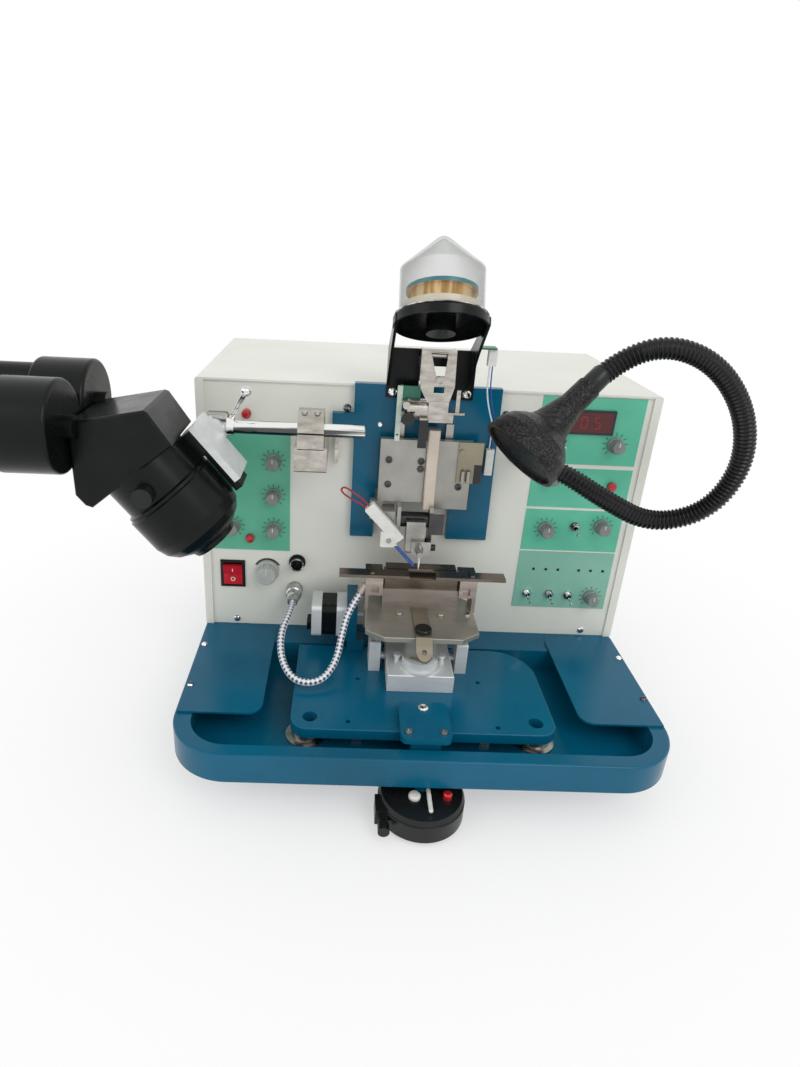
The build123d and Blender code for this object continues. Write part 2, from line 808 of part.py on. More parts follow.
def make_cross_carriage():
    """A thin plate on four shoes astride the Y rails, with the X rails on top."""
    reach = y_rail_x + 14
    plate = between(-reach, reach, x_rail_front - 8, x_rail_rear + 8, cross_bottom, cross_top)
    plate -= rounded_slab(-30, 30, x_rail_front + 10, x_rail_rear - 10, cross_bottom - 1, cross_top + 1, 6)
    for x in (-y_rail_x, y_rail_x):
        for y in (x_rail_front, x_rail_rear):
            for side in (-1, 1):
                inner = x + side * (rail_width / 2 + gap)
                outer = x + side * (rail_width / 2 + 5)
                plate += between(min(inner, outer), max(inner, outer), y - 8, y + 8,
                                 floor_top + gap, cross_bottom)
    for y in (x_rail_front, x_rail_rear):
        plate += between(-reach, reach, y - rail_width / 2, y + rail_width / 2, cross_top, cross_top + rail_height)
    save("cross_carriage", plate)


def stage_outline():
    sheet = Pos(0, (plate_front + plate_rear) / 2) * Rectangle(2 * plate_half_width, plate_rear - plate_front)
    far_right = sheet.vertices().sort_by(lambda v: v.X + v.Y)[-1:]
    sheet = fillet(far_right, plate_far_corner_radius)
    return fillet(sheet.vertices().group_by(Axis.Y)[0], plate_corner_radius)


def make_stage_plate():
    plate = Pos(0, 0, plate_bottom) * extrude(stage_outline(), plate_thickness)
    plate = fillet(plate.edges().group_by(Axis.Z)[-1], 1.0)
    for x in (-plate_hole_x, plate_hole_x):
        plate -= upright_bar(x, plate_hole_y, plate_bottom - 1, plate_top + 1, plate_hole_radius)
    for x, y in tapped_holes:
        plate -= upright_bar(x, y, plate_top - 7, plate_top + 1, tapped_hole_radius)
    for y in (x_rail_front, x_rail_rear):
        for x in (-44, 44):
            shoe = between(x - 13, x + 13, y - rail_width / 2 - 5, y + rail_width / 2 + 5,
                           cross_top + gap, plate_bottom)
            shoe -= between(x - 14, x + 14, y - rail_width / 2 - gap, y + rail_width / 2 + gap,
                            cross_top, cross_top + rail_height + gap)
            plate += shoe
    save("stage_plate", plate)


leg_front = bracket_front + 3.0
arm_bottom = mouse_top + 3.0
arm_top = arm_bottom + arm_thickness


def make_stage_brackets():
    """The front bracket with its leg and arm, and the drive motor's plate."""
    tongue = rounded_slab(-bracket_half_width, bracket_half_width, bracket_front, bracket_rear,
                          plate_top, plate_top + bracket_thickness, 6)
    leg = between(-arm_half_width, arm_half_width, leg_front, leg_front + leg_thickness, arm_bottom, plate_top)
    arm = between(-arm_half_width, arm_half_width, leg_front - 7, leg_front + leg_thickness,
                  arm_bottom, arm_top)
    boss = upright_bar(mouse_place[0], mouse_place[1] + 4, mouse_top, arm_bottom, 7)
    left = motor_right
    right = motor_right + motor_plate_thickness
    block = between(left + 1.5, right + 8, motor_front - 2, motor_front + 30,
                    plate_top, plate_top + motor_block_height)
    web = between(left, right, motor_front - 2, motor_front + motor_size + 2,
                  plate_top + motor_block_height, motor_plate_top)
    web = fillet(web.edges().filter_by(Axis.X).group_by(Axis.Z)[-1], 4)
    mid_y = motor_front + motor_size / 2
    mid_z = motor_bottom + motor_size / 2
    web -= crossways_bar(left - 1, right + 1, mid_y, mid_z, 11.2)
    screw = pan_screw_up(0, bracket_screw_y, plate_top + bracket_thickness, 4.6)
    save("stage_brackets", merged([tongue, leg, arm, boss, screw]), block, web)


def make_motor():
    """A square stepping motor: two end bells, the laminated stack, a pilot boss and its shaft."""
    mid_y = motor_front + motor_size / 2
    mid_z = motor_bottom + motor_size / 2
    bell = 10.0

    def square(x0, x1, size, corner):
        outline = extrude(RectangleRounded(size, size, corner), x1 - x0)
        return Pos(x0, mid_y, mid_z) * Rot(0, 90, 0) * outline
    rear = square(motor_left, motor_left + bell, motor_size, 4.5)
    front = square(motor_right - bell, motor_right, motor_size, 4.5)
    stack = square(motor_left + bell, motor_right - bell, motor_size - 0.8, 6.5)
    pilot = crossways_bar(motor_right, motor_right + 2, mid_y, mid_z, 11.0)
    shaft = crossways_bar(motor_right, motor_right + motor_plate_thickness + 6, mid_y, mid_z, 2.5)
    leads = between(motor_left - 5, motor_left, mid_y - 8, mid_y + 8, motor_bottom + 3, motor_bottom + 11)
    save("drive_motor", merged([rear, stack, front, pilot, shaft, leads]))


# Hand control

def make_mouse():
    x, y = mouse_place
    body = revolve_up([
        (0, mouse_bottom), (mouse_radius - 3, mouse_bottom), (mouse_radius, mouse_bottom + 3),
        (mouse_radius, mouse_top - 6.5), (mouse_radius - 1.2, mouse_top - 5.8),
        (mouse_radius - 1.2, mouse_top - 4.8), (mouse_radius - 0.4, mouse_top - 4),
        (mouse_radius - 2.4, mouse_top), (0, mouse_top),
    ], x, y)
    lug = between(x - mouse_radius - 3, x - mouse_radius + 12, y - 22, y - 4, mouse_bottom + 6, mouse_top - 3)
    body += lug
    for place, radius in ((white_button_place, white_button_radius), (red_button_place, red_button_radius)):
        body -= upright_bar(*place, mouse_top - 6, mouse_top + 1, radius + fit)
    slot = between(joystick_x - 2.2, joystick_x + 2.2, joystick_pivot_y - 8, joystick_pivot_y + 4,
                   mouse_top - 5, mouse_top + 1)
    body -= slot
    # knurled thumb screw in the lug
    screw_x, screw_z = x - mouse_radius + 4, mouse_bottom + 11
    body += fore_and_aft_bar(screw_x, y - 27, y - 22, screw_z, 2.6)
    body += fore_and_aft_bar(screw_x, y - 35, y - 27, screw_z, 5.0)
    save("hand_control_body", body)
    white = revolve_up([
        (0, mouse_top - 4), (white_button_radius, mouse_top - 4), (white_button_radius, mouse_top + 2),
        (white_button_radius * 0.75, mouse_top + 3.6), (0, mouse_top + 4.2),
    ], *white_button_place)
    save("hand_control_white_button", white)
    red = revolve_up([
        (0, mouse_top - 4), (red_button_radius, mouse_top - 4), (red_button_radius, mouse_top + 4.5),
        (red_button_radius * 0.7, mouse_top + 6), (0, mouse_top + 6.4),
    ], *red_button_place)
    save("hand_control_red_button", red)
    stick = fore_and_aft_bar(joystick_x, joystick_pivot_y - joystick_length, joystick_pivot_y + 2,
                             mouse_top + 3.2, 1.9)
    stick = fillet(stick.edges().sort_by(Axis.Y)[0], 1.2)
    stick += between(joystick_x - 1.3, joystick_x + 1.3, joystick_pivot_y - 2, joystick_pivot_y + 2,
                     mouse_top - 3.6, mouse_top + 3)
    save("hand_control_lever", stick)


# Work holder

def make_step_slide():
    rails = []
    for side in (-1, 1):
        inner, outer = side * upright_inner, side * (upright_inner + upright_thickness)
        x0, x1 = min(inner, outer), max(inner, outer)
        rail = between(x0, x1, upright_front, upright_rear, plate_top, plate_top + upright_height)
        rail = chamfer(rail.edges().filter_by(Axis.X).group_by(Axis.Z)[-1], 1.2)
        foot_x = side * (upright_inner + upright_thickness / 2)
        rail += crossways_bar(min(side * (step_block_half_width + gap), inner),
                              max(side * (step_block_half_width + gap), inner),
                              (upright_front + upright_rear) / 2, plate_top + 9, 3.4)
        rail -= upright_bar(foot_x, upright_front + 5, plate_top + upright_height - 3, plate_top + 40, 2.6)
        rails.append(rail)
    save("step_rails", *rails)
    half = step_block_half_width
    block = between(-half, half, step_block_front, step_block_rear, plate_top + gap, step_block_top)
    block = chamfer(block.edges().group_by(Axis.Z)[-1], 0.6)
    mid_y = (upright_front + upright_rear) / 2
    ring = revolve_up([
        (0, step_block_top), (pedestal_radius + 3, step_block_top), (pedestal_radius + 3, step_block_top + 2.5),
        (pedestal_radius, step_block_top + 2.5), (pedestal_radius, step_block_top + pedestal_height),
        (pedestal_radius - 4, step_block_top + pedestal_height), (pedestal_radius - 4, step_block_top + 4),
        (0, step_block_top + 4),
    ], 0, pedestal_y)
    block += ring
    for side in (-1, 1):
        x = side * (pedestal_radius + 4.2)
        block += upright_bar(x, pedestal_y + 3, step_block_top, step_block_top + 7, 2.4)
        block += upright_bar(x, pedestal_y + 3, step_block_top + 7, step_block_top + 9.5, 3.4)
        groove = side * (half - 1.5)
        block -= between(min(groove, side * (half + 1)), max(groove, side * (half + 1)),
                         step_block_front + 6, step_block_rear - 6, plate_top + 5, plate_top + 13)
    save("step_carriage", block)


def make_work_table():
    """The octagonal table on its post, which turns in the pedestal ring."""
    points = [
        (-table_front_half, table_front), (table_front_half, table_front), (table_half_width, table_side_front),
        (table_half_width, table_rear - 14), (table_front_half, table_rear), (-table_front_half, table_rear),
        (-table_half_width, table_rear - 14), (-table_half_width, table_side_front),
    ]
    outline = make_face(Polyline([(x, y, table_underside) for x, y in points], close=True))
    table = extrude(outline, table_thickness, dir=(0, 0, 1))
    table = chamfer(table.edges().group_by(Axis.Z)[-1], 0.5)
    post = rounded_slab(-post_half_width, post_half_width, post_front, post_rear,
                        step_block_top + pedestal_height + gap, table_underside, 4)
    spigot = upright_bar(0, pedestal_y, step_block_top + 4 + gap, step_block_top + pedestal_height + gap + 1,
                         pedestal_radius - 4 - fit)
    table = merged([table, post, spigot])
    for x in (-20, 20):
        table += Pos(x, heater_front - 10, table_top) * revolve_up([(0, 0), (3.4, 0), (3.4, 1.6), (2.4, 2.6), (0, 2.6)])
    save("work_table", table)


def make_heater():
    """The heater block with its end brackets, clamping rails and the beige clamp bar."""
    half = heater_half_width
    rear = heater_front + heater_depth
    block_top = table_top + heater_height
    block = between(-half, half, heater_front, rear, table_top, block_top)
    cap = between(-half + 1.5, half - 1.5, heater_front + 1.5, rear - 1.5, block_top, block_top + heater_cap_height)
    cap = chamfer(cap.edges().filter_by(Axis.X).group_by(Axis.Z)[-1], 1.2)
    cap -= between(-half, half, tool_y - 1.2, tool_y + 1.2, block_top + heater_cap_height - 0.8,
                   block_top + heater_cap_height + 1)
    block += cap
    pieces = []
    for side in (-1, 1):
        def span(a, b):
            return min(side * a, side * b), max(side * a, side * b)
        bracket = between(*span(half + gap, half + 17), heater_front - 3, rear - 4, block_top - 6,
                          rail_plate_top - rail_plate_thickness)
        bracket += between(*span(half + 13.5, half + 17), heater_front - 3, rear - 8, table_top, block_top - 6)
        bracket -= between(*span(half + 4, half + 11), heater_front - 4, heater_front + 1, block_top - 3, block_top + 4)
        plate = between(*span(half - 24, rail_plate_reach), tool_y - rail_plate_depth / 2 - 3,
                        tool_y + rail_plate_depth / 2 - 3, rail_plate_top - rail_plate_thickness, rail_plate_top)
        clip = between(*span(half + 9, half + 13), tool_y - 8, tool_y + 4, rail_plate_top, rail_plate_top + 2.2)
        pieces.append(merged([bracket, plate, clip]))
    rear_plate = between(-34, 34, tool_y + rail_plate_depth / 2, tool_y + rail_plate_depth / 2 + 12,
                         rail_plate_top - rail_plate_thickness, rail_plate_top)
    for x in (-30, 30):
        rear_plate += between(x - 3, x + 3, tool_y + rail_plate_depth / 2 + 2, tool_y + rail_plate_depth / 2 + 10,
                              block_top + heater_cap_height, rail_plate_top - rail_plate_thickness)
    pieces.append(rear_plate)
    gland = Line(cable_end, cable_end + cable_entry * gland_length)
    pieces[0] += sweep(Plane(origin=cable_end, z_dir=cable_entry) * Circle(gland_radius), gland)
    bend_y = table_front - 1.5
    width = clamp_bar_width / 2
    bar = between(-width, width, bend_y, heater_front, table_top, table_top + clamp_bar_thickness)
    slope = panel_slope(width, bend_y)
    bar = bar + slope
    bar -= upright_bar(0, clamp_knob_y, table_top - 1, table_top + clamp_bar_thickness + 1, 2.0 + fit)
    save("heater_assembly", block, *pieces, bar)


def panel_slope(width, bend_y):
    """The bar's front end, which dips in front of the table and has a round tip."""
    tip_y = clamp_bar_tip
    profile = [
        (bend_y, table_top), (bend_y, table_top + clamp_bar_thickness),
        (tip_y, table_top + clamp_bar_thickness - clamp_bar_drop), (tip_y, table_top - clamp_bar_drop),
    ]
    outline = make_face(Polyline([(-width, y, z) for y, z in profile], close=True))
    slope = extrude(outline, 2 * width, dir=(1, 0, 0))
    round_y = tip_y + width
    rounded = between(-width, width, round_y, bend_y, table_top - 30, table_top + 10)
    rounded += upright_bar(0, round_y, table_top - 30, table_top + 10, width)
    slope = slope & rounded
    return slope - upright_bar(0, round_y - 1, table_top - 30, table_top + 10, 2.2)


cable_end = Vector(-heater_half_width - 21.0, heater_front + 5.0, table_top + 13.5)
cable_entry = (cable_end - Vector(*cable_loop[-1])).normalized()


def make_clamp_knob():
    top = table_top + clamp_bar_thickness + gap
    knob = revolve_up([
        (0, top - clamp_bar_thickness - gap), (2.0, top - clamp_bar_thickness - gap), (2.0, top),
        (clamp_knob_radius, top), (clamp_knob_radius, top + clamp_knob_height - 0.8),
        (clamp_knob_radius - 0.8, top + clamp_knob_height), (0, top + clamp_knob_height),
    ], 0, clamp_knob_y)
    for number in range(12):
        turn = 2 * pi * number / 12
        reach = clamp_knob_radius + 0.3
        knob -= upright_bar(reach * cos(turn), clamp_knob_y + reach * sin(turn), top - 1, top + 5, 0.7)
    save("clamp_knob", knob)


# Bond head

def make_head_plate():
    plate = panel_face(head_plate_outline, -head_plate_thickness, head_plate_thickness)
    save("head_plate", plate)


def make_head_slide():
    """Two front plates and a spine on shoes that run on the head rails."""
    pieces = []
    plate_bottom_left = slide_bottom - 2
    left = between(*slide_left, slide_front, slide_rear, plate_bottom_left, slide_top)
    right = between(*slide_right, slide_front, slide_rear, slide_bottom - 8, slide_top)
    spine_bar = between(*spine, spine_front, slide_rear, slide_bottom - 6, slide_top + 12)
    spine_bar = chamfer(spine_bar.edges().filter_by(Axis.Z).group_by(Axis.Y)[0], 0.8)
    bridge = between(slide_left[0] + 20, slide_right[1] - 12, slide_rear - 1, slide_rear, slide_bottom + 10, slide_top)
    body = merged([left, right, spine_bar, bridge])
    for x in (head_middle_x - head_rail_x, head_middle_x + head_rail_x):
        shoe = between(x - head_rail_width / 2 - 5, x + head_rail_width / 2 + 5, slide_rear,
                       -head_plate_thickness - gap, slide_bottom + 14, slide_top - 6)
        shoe -= between(x - head_rail_width / 2 - gap, x + head_rail_width / 2 + gap,
                        -head_plate_thickness - head_rail_height - gap, 0, slide_bottom, slide_top)
        body += shoe
    for x, z in ((-36.4, 266), (-36.0, 241.5), (-6, 265.6), (-6, 258), (31.5, 241.3)):
        body -= fore_and_aft_bar(x, slide_front - 1, slide_front + 2.4, z, 3.1)
        body += fore_and_aft_bar(x, slide_front + 0.6, slide_front + 3, z, 2.5)
    pieces.append(body)
    # the stepped cover plate with its two pins and the switch behind it
    tab_front = slide_front - 2.4
    tab = between(28.4, 51.5, tab_front, slide_front, 265, slide_top + 0.5)
    tab += between(28.4, 44.4, tab_front, slide_front, 246, 265)
    tab += between(44.8, 52, tab_front + 0.6, slide_front + 8, 246, 268)
    for x in (34.0, 39.2):
        tab += upright_bar(x, tab_front - 1.8, 248, 259, 2.0)
    tab += fore_and_aft_bar(31.8, tab_front - 1.6, tab_front, 277, 2.6)
    pieces.append(tab)
    # cheeks that carry the bonding arm's pin
    for x0, x1 in ((5.0, 8.6), (-26.0, -22.4)):
        cheek = between(x0, x1, arm_pivot_y - 9, slide_front, arm_pivot_z - 22, slide_bottom - 2)
        cheek += between(x0, x1, slide_front, slide_rear, slide_bottom - 8, slide_bottom - 2)
        pieces.append(cheek)
    guard = between(8.6, 19, arm_pivot_y - 11, arm_pivot_y - 9, arm_pivot_z - 11, arm_pivot_z + 10)
    guard += between(5.0, 8.6, arm_pivot_y - 11, arm_pivot_y - 9, arm_pivot_z - 11, arm_pivot_z + 10)
    pieces[-2] += guard
    pieces.append(crossways_bar(-25.9, 8.5, arm_pivot_y, arm_pivot_z, arm_pin_radius))
    holder = between(-52, -28, torch_pivot[1] + 6, slide_rear, arm_pivot_z + 2, arm_pivot_z + 10)
    holder += between(-52, -40, slide_front, slide_rear, arm_pivot_z + 10, slide_bottom - 2)
    holder += between(-40, -28, torch_pivot[1] + 6, torch_pivot[1] + 12, torch_pivot[2] - 8, arm_pivot_z + 2)
    holder += fore_and_aft_bar(torch_pivot[0], torch_pivot[1] - 5, torch_pivot[1] + 6, torch_pivot[2], 2.5)
    pieces.append(holder)
    save("head_slide", *pieces)


def make_bond_arm():
    """The pivoted arm with the ultrasonic horn and the capillary."""
    hub = crossways_bar(-22.0, 4.6, arm_pivot_y, arm_pivot_z, 7.5)
    hub -= crossways_bar(-30, 20, arm_pivot_y, arm_pivot_z, arm_pin_radius + fit)
    body = between(-17, 1, arm_pivot_y - 18, arm_pivot_y - 5, 180, arm_pivot_z + 4)
    body = chamfer(body.edges().filter_by(Axis.X), 1.5)
    body += hub
    body -= crossways_bar(-30, 20, arm_pivot_y, arm_pivot_z, arm_pin_radius + fit)
    clamp = between(-11.5, 7, arm_pivot_y - 22, arm_pivot_y - 10.5, 180, 194)
    horn = revolve_forward([(0, -8), (7.0, -8), (7.0, 6), (5.4, 8), (4.0, 16), (2.8, 24), (2.8, 26), (0, 26)],
                           tool_x, arm_pivot_y - 8, 186)
    capillary = revolve_up([
        (0, tool_tip), (0.25, tool_tip), (0.8, tool_tip + 4), (0.8, 190), (0, 190),
    ], tool_x, tool_y)
    tip_boss = upright_bar(tool_x, tool_y, 183, 189, 2.6)
    knob = crossways_bar(7, 12, arm_pivot_y - 16, 186, 3.2)
    save("bond_arm", merged([body, clamp, horn, tip_boss, capillary, knob]))


def make_torch():
    """The white torch holder with the insulated spark electrode."""
    x, y, z = torch_pivot
    body = Pos(x - 5, y - 0.3, z + 17) * Rot(0, 47, 0) * Box(46, 7.4, 11)
    body = fillet(body.edges().filter_by(Axis.Y), 1.5)
    body += between(x - 8, x + 6, y - 4, y + 3.4, z - 7, z + 9)
    body -= fore_and_aft_bar(x, y - 6, y + 7, z, 2.5 + fit)
    start = Vector(x + 4, y - 1, z - 3)
    end = Vector(tool_x - 4.5, tool_y + 1.5, tool_tip + 3)
    wand = sweep(Plane(origin=start, z_dir=end - start) * Circle(1.6), Line(start, end))
    save("torch_wand", body + wand)


# Spool, its bracket and the wire feed below it

spool_frame = Pos(*spool_place) * Rot(-spool_lean, 0, 0)


def on_spool(across, up):
    """The y and z of a place beside the spool's axis, from its distance behind the axis and up it."""
    place = (spool_frame * Pos(0, across, up)).position
    return place.Y, place.Z


def make_spool_bracket():
    """Round seat with its pin and drive, two side sheets and the front sheet on the head plate."""
    inner = seat_radius - seat_wall
    seat = revolve_up([
        (0, -seat_wall), (inner, -seat_wall), (inner, -seat_depth), (seat_radius, -seat_depth),
        (seat_radius, -seat_wall), (seat_top_radius, 0), (0, 0),
    ])
    seat += upright_bar(0, 0, -seat_wall, spool_pin_height, spool_pin_radius)
    seat += upright_bar(0, 0, -spool_drive_depth, -seat_wall, spool_drive_radius)
    bracket = spool_frame * seat
    back = -head_plate_thickness
    front = back - bracket_sheet
    opening_left, opening_right, opening_top = cheek_opening
    sheet = between(cheek_left, cheek_right, front, back, cheek_bottom, cheek_top)
    sheet -= between(opening_left, opening_right, front - 1, back + 1, cheek_bottom - 1, opening_top)
    side_outline = [
        (back, cheek_bottom + 11), (back, cheek_top), on_spool(seat_arm_half_width, -seat_wall),
        on_spool(-seat_arm_half_width, -seat_wall), on_spool(-seat_arm_half_width, -seat_depth),
        (back - 34, cheek_top + 2), (front, cheek_bottom + 11),
    ]
    pieces = [bracket, sheet]
    for x in (spool_place[0] - seat_radius + 1, spool_place[0] + seat_radius - side_sheet - 1):
        face = make_face(Polyline([(x, y, z) for y, z in side_outline], close=True))
        pieces.append(extrude(face, side_sheet, dir=(1, 0, 0)))
    save("spool_bracket", merged(pieces))


def make_wire_feed():
    """Tapered guide frame with its window, crossbar, clamp coil and boards."""
    back = feed_front + feed_sheet
    bracket_face = -head_plate_thickness - bracket_sheet
    frame = panel_face(feed_outline, feed_front, feed_sheet)
    frame -= panel_face(feed_vee, feed_front - 1, feed_sheet + 2)
    x0, x1, z0, z1 = feed_window
    frame -= between(x0, x1, feed_front - 1, back + 1, z0, z1)
    middle = (x0 + x1) / 2
    ring = fore_and_aft_bar(middle, feed_front - 2, feed_front + 0.5, z1 + 5, 4.2)
    ring -= fore_and_aft_bar(middle, feed_front - 3, feed_front, z1 + 5, 2.2)
    frame += ring
    side = feed_outline[0][0]
    other_side = feed_outline[1][0]
    for left in (side, other_side - feed_sheet):
        frame += between(left, left + feed_sheet, back, bracket_face, 354, 362)
        frame += between(left, left + feed_sheet, feed_front + 1, back + 6, 344, feed_outline[0][1])
    frame += crossways_bar(side + 1, other_side - 1, back + 6, 366, 2.2)
    x0, x1, z0, z1 = feed_bar
    frame += between(x0, x1, feed_front - 1, feed_front + 4, z0, z1)
    frame += between(x0 + 6, x1 - 15, feed_front - 1, feed_front + 4, z1, feed_outline[3][1] + 1)
    left, right, top = feed_post
    frame += between(left, right, feed_front, feed_front + 3, z1, top)
    left, right, bottom, top = feed_lip
    frame += between(left, right, feed_front + 1, feed_front + 6, bottom, z0)
    frame += between(left + 14, right, feed_front + 6, -head_plate_thickness, bottom + 2, z0)
    # the coil that opens the wire clamp, with its two adjusters and its lever
    y, z = coil_place
    left, right = coil_ends
    coil = crossways_bar(left, right, y, z, coil_radius)
    coil += crossways_bar(left, left + 2.4, y, z, coil_radius + 1)
    coil += fore_and_aft_bar(left - 1, y - coil_radius - 2, y, z + 6, 3.4)
    coil += fore_and_aft_bar(left + 1, y - coil_radius - 4, y, z - 6, 6.0)
    coil += between(left + 5, right - 4, y, -head_plate_thickness, z - 9, cheek_bottom - 1)
    left, right, bottom = lever_ends
    coil += between(left, right, y - 12, y - 9, bottom, z - 7)
    coil += between(left, right - 1, y - 12, y - 4, z - 12, z - 5)
    # the green board and the strip below it
    x0, x1, z0, z1 = feed_board
    board = between(x0, x1, -26, -24.4, z0, z1)
    board += between(x0 + 2, x0 + 6, -24.4, bracket_face, z1 - 7, z1 - 2)
    left, right, bottom = feed_strip
    board += between(left, right, -26.6, -25, bottom, z1)
    board -= fore_and_aft_bar((left + right) / 2, -28, -23, bottom + 6, 1.2)
    # the small board on the right side sheet, and the connectors
    left, right, z = side_board
    shelf = between(left, right, feed_front, feed_front + 12, z, z + 1.6)
    x0, x1, z0 = side_connector
    shelf += between(x0, x1, feed_front + 2, feed_front + 9, z0, z)
    x0, x1, z0, z1 = head_connector
    plug_body = between(x0, x1, -head_plate_thickness - 6, -head_plate_thickness, z0, z1)
    save("wire_feed", frame, coil, board, shelf, plug_body)


def make_spool():
    bore = spool_pin_radius + fit
    base = 2 * gap
    hub = bore + 3
    spool = revolve_up([
        (bore, base), (spool_base_radius, base), (spool_base_radius, spool_base_top),
        (winding_radius, spool_base_top), (winding_radius, winding_top), (spool_flange_radius, winding_top),
        (spool_flange_radius, spool_flange_top), (winding_radius - 3, spool_flange_top),
        (winding_radius - 3, base + 2), (hub, base + 2), (hub, winding_top), (bore, winding_top),
    ])
    save("wire_spool", spool_frame * spool)
    inner = cover_radius - cover_wall
    cover = revolve_up([
        (inner, gap), (cover_radius, gap), (cover_radius, cover_shoulder),
        (cover_tip_radius, cover_apex - 2.5), (cover_tip_radius / 2, cover_apex - 0.6), (0, cover_apex),
        (0, cover_apex - cover_wall - 1), (cover_tip_radius / 2, cover_apex - cover_wall - 2),
        (inner, cover_shoulder - 0.6),
    ])
    save("spool_cover", spool_frame * cover)


# Microscope

scope_lean = radians(scope_tilt)
scope_frame = Pos(*scope_centre) * Rot(0, -scope_tilt, 0)


def on_scope(m, y, w):
    """A place given across the optical axis, along Y and down the optical axis."""
    x0, _, z0 = scope_centre
    return (x0 + m * cos(scope_lean) + w * sin(scope_lean), y, z0 + m * sin(scope_lean) - w * cos(scope_lean))


def scope_block(m0, m1, y0, y1, w0, w1):
    """A block whose sides follow the optical axis."""
    x, y, z = on_scope((m0 + m1) / 2, (y0 + y1) / 2, (w0 + w1) / 2)
    return Pos(x, y, z) * Rot(0, -scope_tilt, 0) * Box(m1 - m0, y1 - y0, w1 - w0)


def make_microscope_arm():
    rod = crossways_bar(arm_rod_left, arm_rod_right, arm_axis_y, arm_axis_z, arm_rod_radius)
    rod = chamfer(rod.edges().filter_by(GeomType.CIRCLE), 0.8)
    save("microscope_rod", rod)
    # bracket block on the panel and the split clamp on top of it
    block = between(clamp_block_left, clamp_block_right, arm_axis_y - 12, 0, clamp_block_bottom, clamp_block_top)
    block = chamfer(block.edges().filter_by(Axis.X).group_by(Axis.Y)[0], 1.5)
    clamp = between(clamp_left, clamp_right, arm_axis_y - 14, arm_axis_y + 14, clamp_block_top, clamp_top)
    clamp = chamfer(clamp.edges().filter_by(Axis.X).group_by(Axis.Z)[-1], 3)
    clamp -= crossways_bar(clamp_left - 1, clamp_right + 1, arm_axis_y, arm_axis_z, arm_rod_radius + fit)
    clamp -= between(clamp_left - 1, clamp_right + 1, arm_axis_y - 15, arm_axis_y, arm_axis_z - 0.8, arm_axis_z + 0.8)
    for x in (clamp_left + 6, clamp_right - 6):
        clamp += upright_bar(x, arm_axis_y - 10.2, clamp_top, clamp_top + 2.4, 2.6)
    stem = between(-88, -84.5, -9, 0, clamp_block_bottom - 8, clamp_block_bottom + 20)
    save("rod_bracket", block, clamp, stem)
    # end block: turns on the rod and carries the tilt stud
    middle_x = (end_block_left + end_block_right) / 2
    end_block = between(end_block_left, end_block_right, end_block_front, end_block_rear,
                        arm_axis_z - 11, arm_axis_z + 11)
    end_block = fillet(end_block.edges().filter_by(Axis.Y), 3)
    end_block -= crossways_bar(arm_rod_left - gap, end_block_right + 1, arm_axis_y, arm_axis_z, arm_rod_radius + fit)
    end_block += crossways_bar(end_block_right, end_block_right + 6, arm_axis_y, arm_axis_z, 8.0)
    end_block -= crossways_bar(end_block_right - 1, end_block_right + 8, arm_axis_y, arm_axis_z, arm_rod_radius + fit)
    stem_line = Line((end_block_right + 3, arm_axis_y, arm_axis_z + 7.2),
                     (end_block_right + 18, arm_axis_y - 9, arm_axis_z + 34))
    lever = sweep(Plane(origin=stem_line @ 0, z_dir=stem_line % 0) * Circle(2.2), stem_line)
    end_block += lever
    end_block += Pos(*(stem_line @ 1)) * Sphere(4.6)
    end_block += fore_and_aft_bar(middle_x, end_block_front - 9, end_block_front, arm_axis_z, 5.0)
    save("rod_end_block", end_block)


def make_focus_mount():
    """The silver carrier plate on the tilt stud, with the dovetail slide's fixed half."""
    middle_x = (end_block_left + end_block_right) / 2
    carrier = scope_block(slide_gap_m + 1.2, slide_gap_m + 7, mount_front, mount_rear, -42, 14)
    ear = fore_and_aft_bar(middle_x, end_block_front - 8, end_block_front - gap, arm_axis_z, 9.0)
    ear += scope_block(slide_gap_m + 1.2, slide_gap_m + 7, mount_rear, end_block_front - gap, -36, -14)
    carrier += ear
    carrier -= fore_and_aft_bar(middle_x, end_block_front - 20, end_block_front + 1, arm_axis_z, 5.0 + fit)
    save("focus_mount", carrier)


slide_gap_m = 47.5
mount_front = -108.0
mount_rear = -66.0


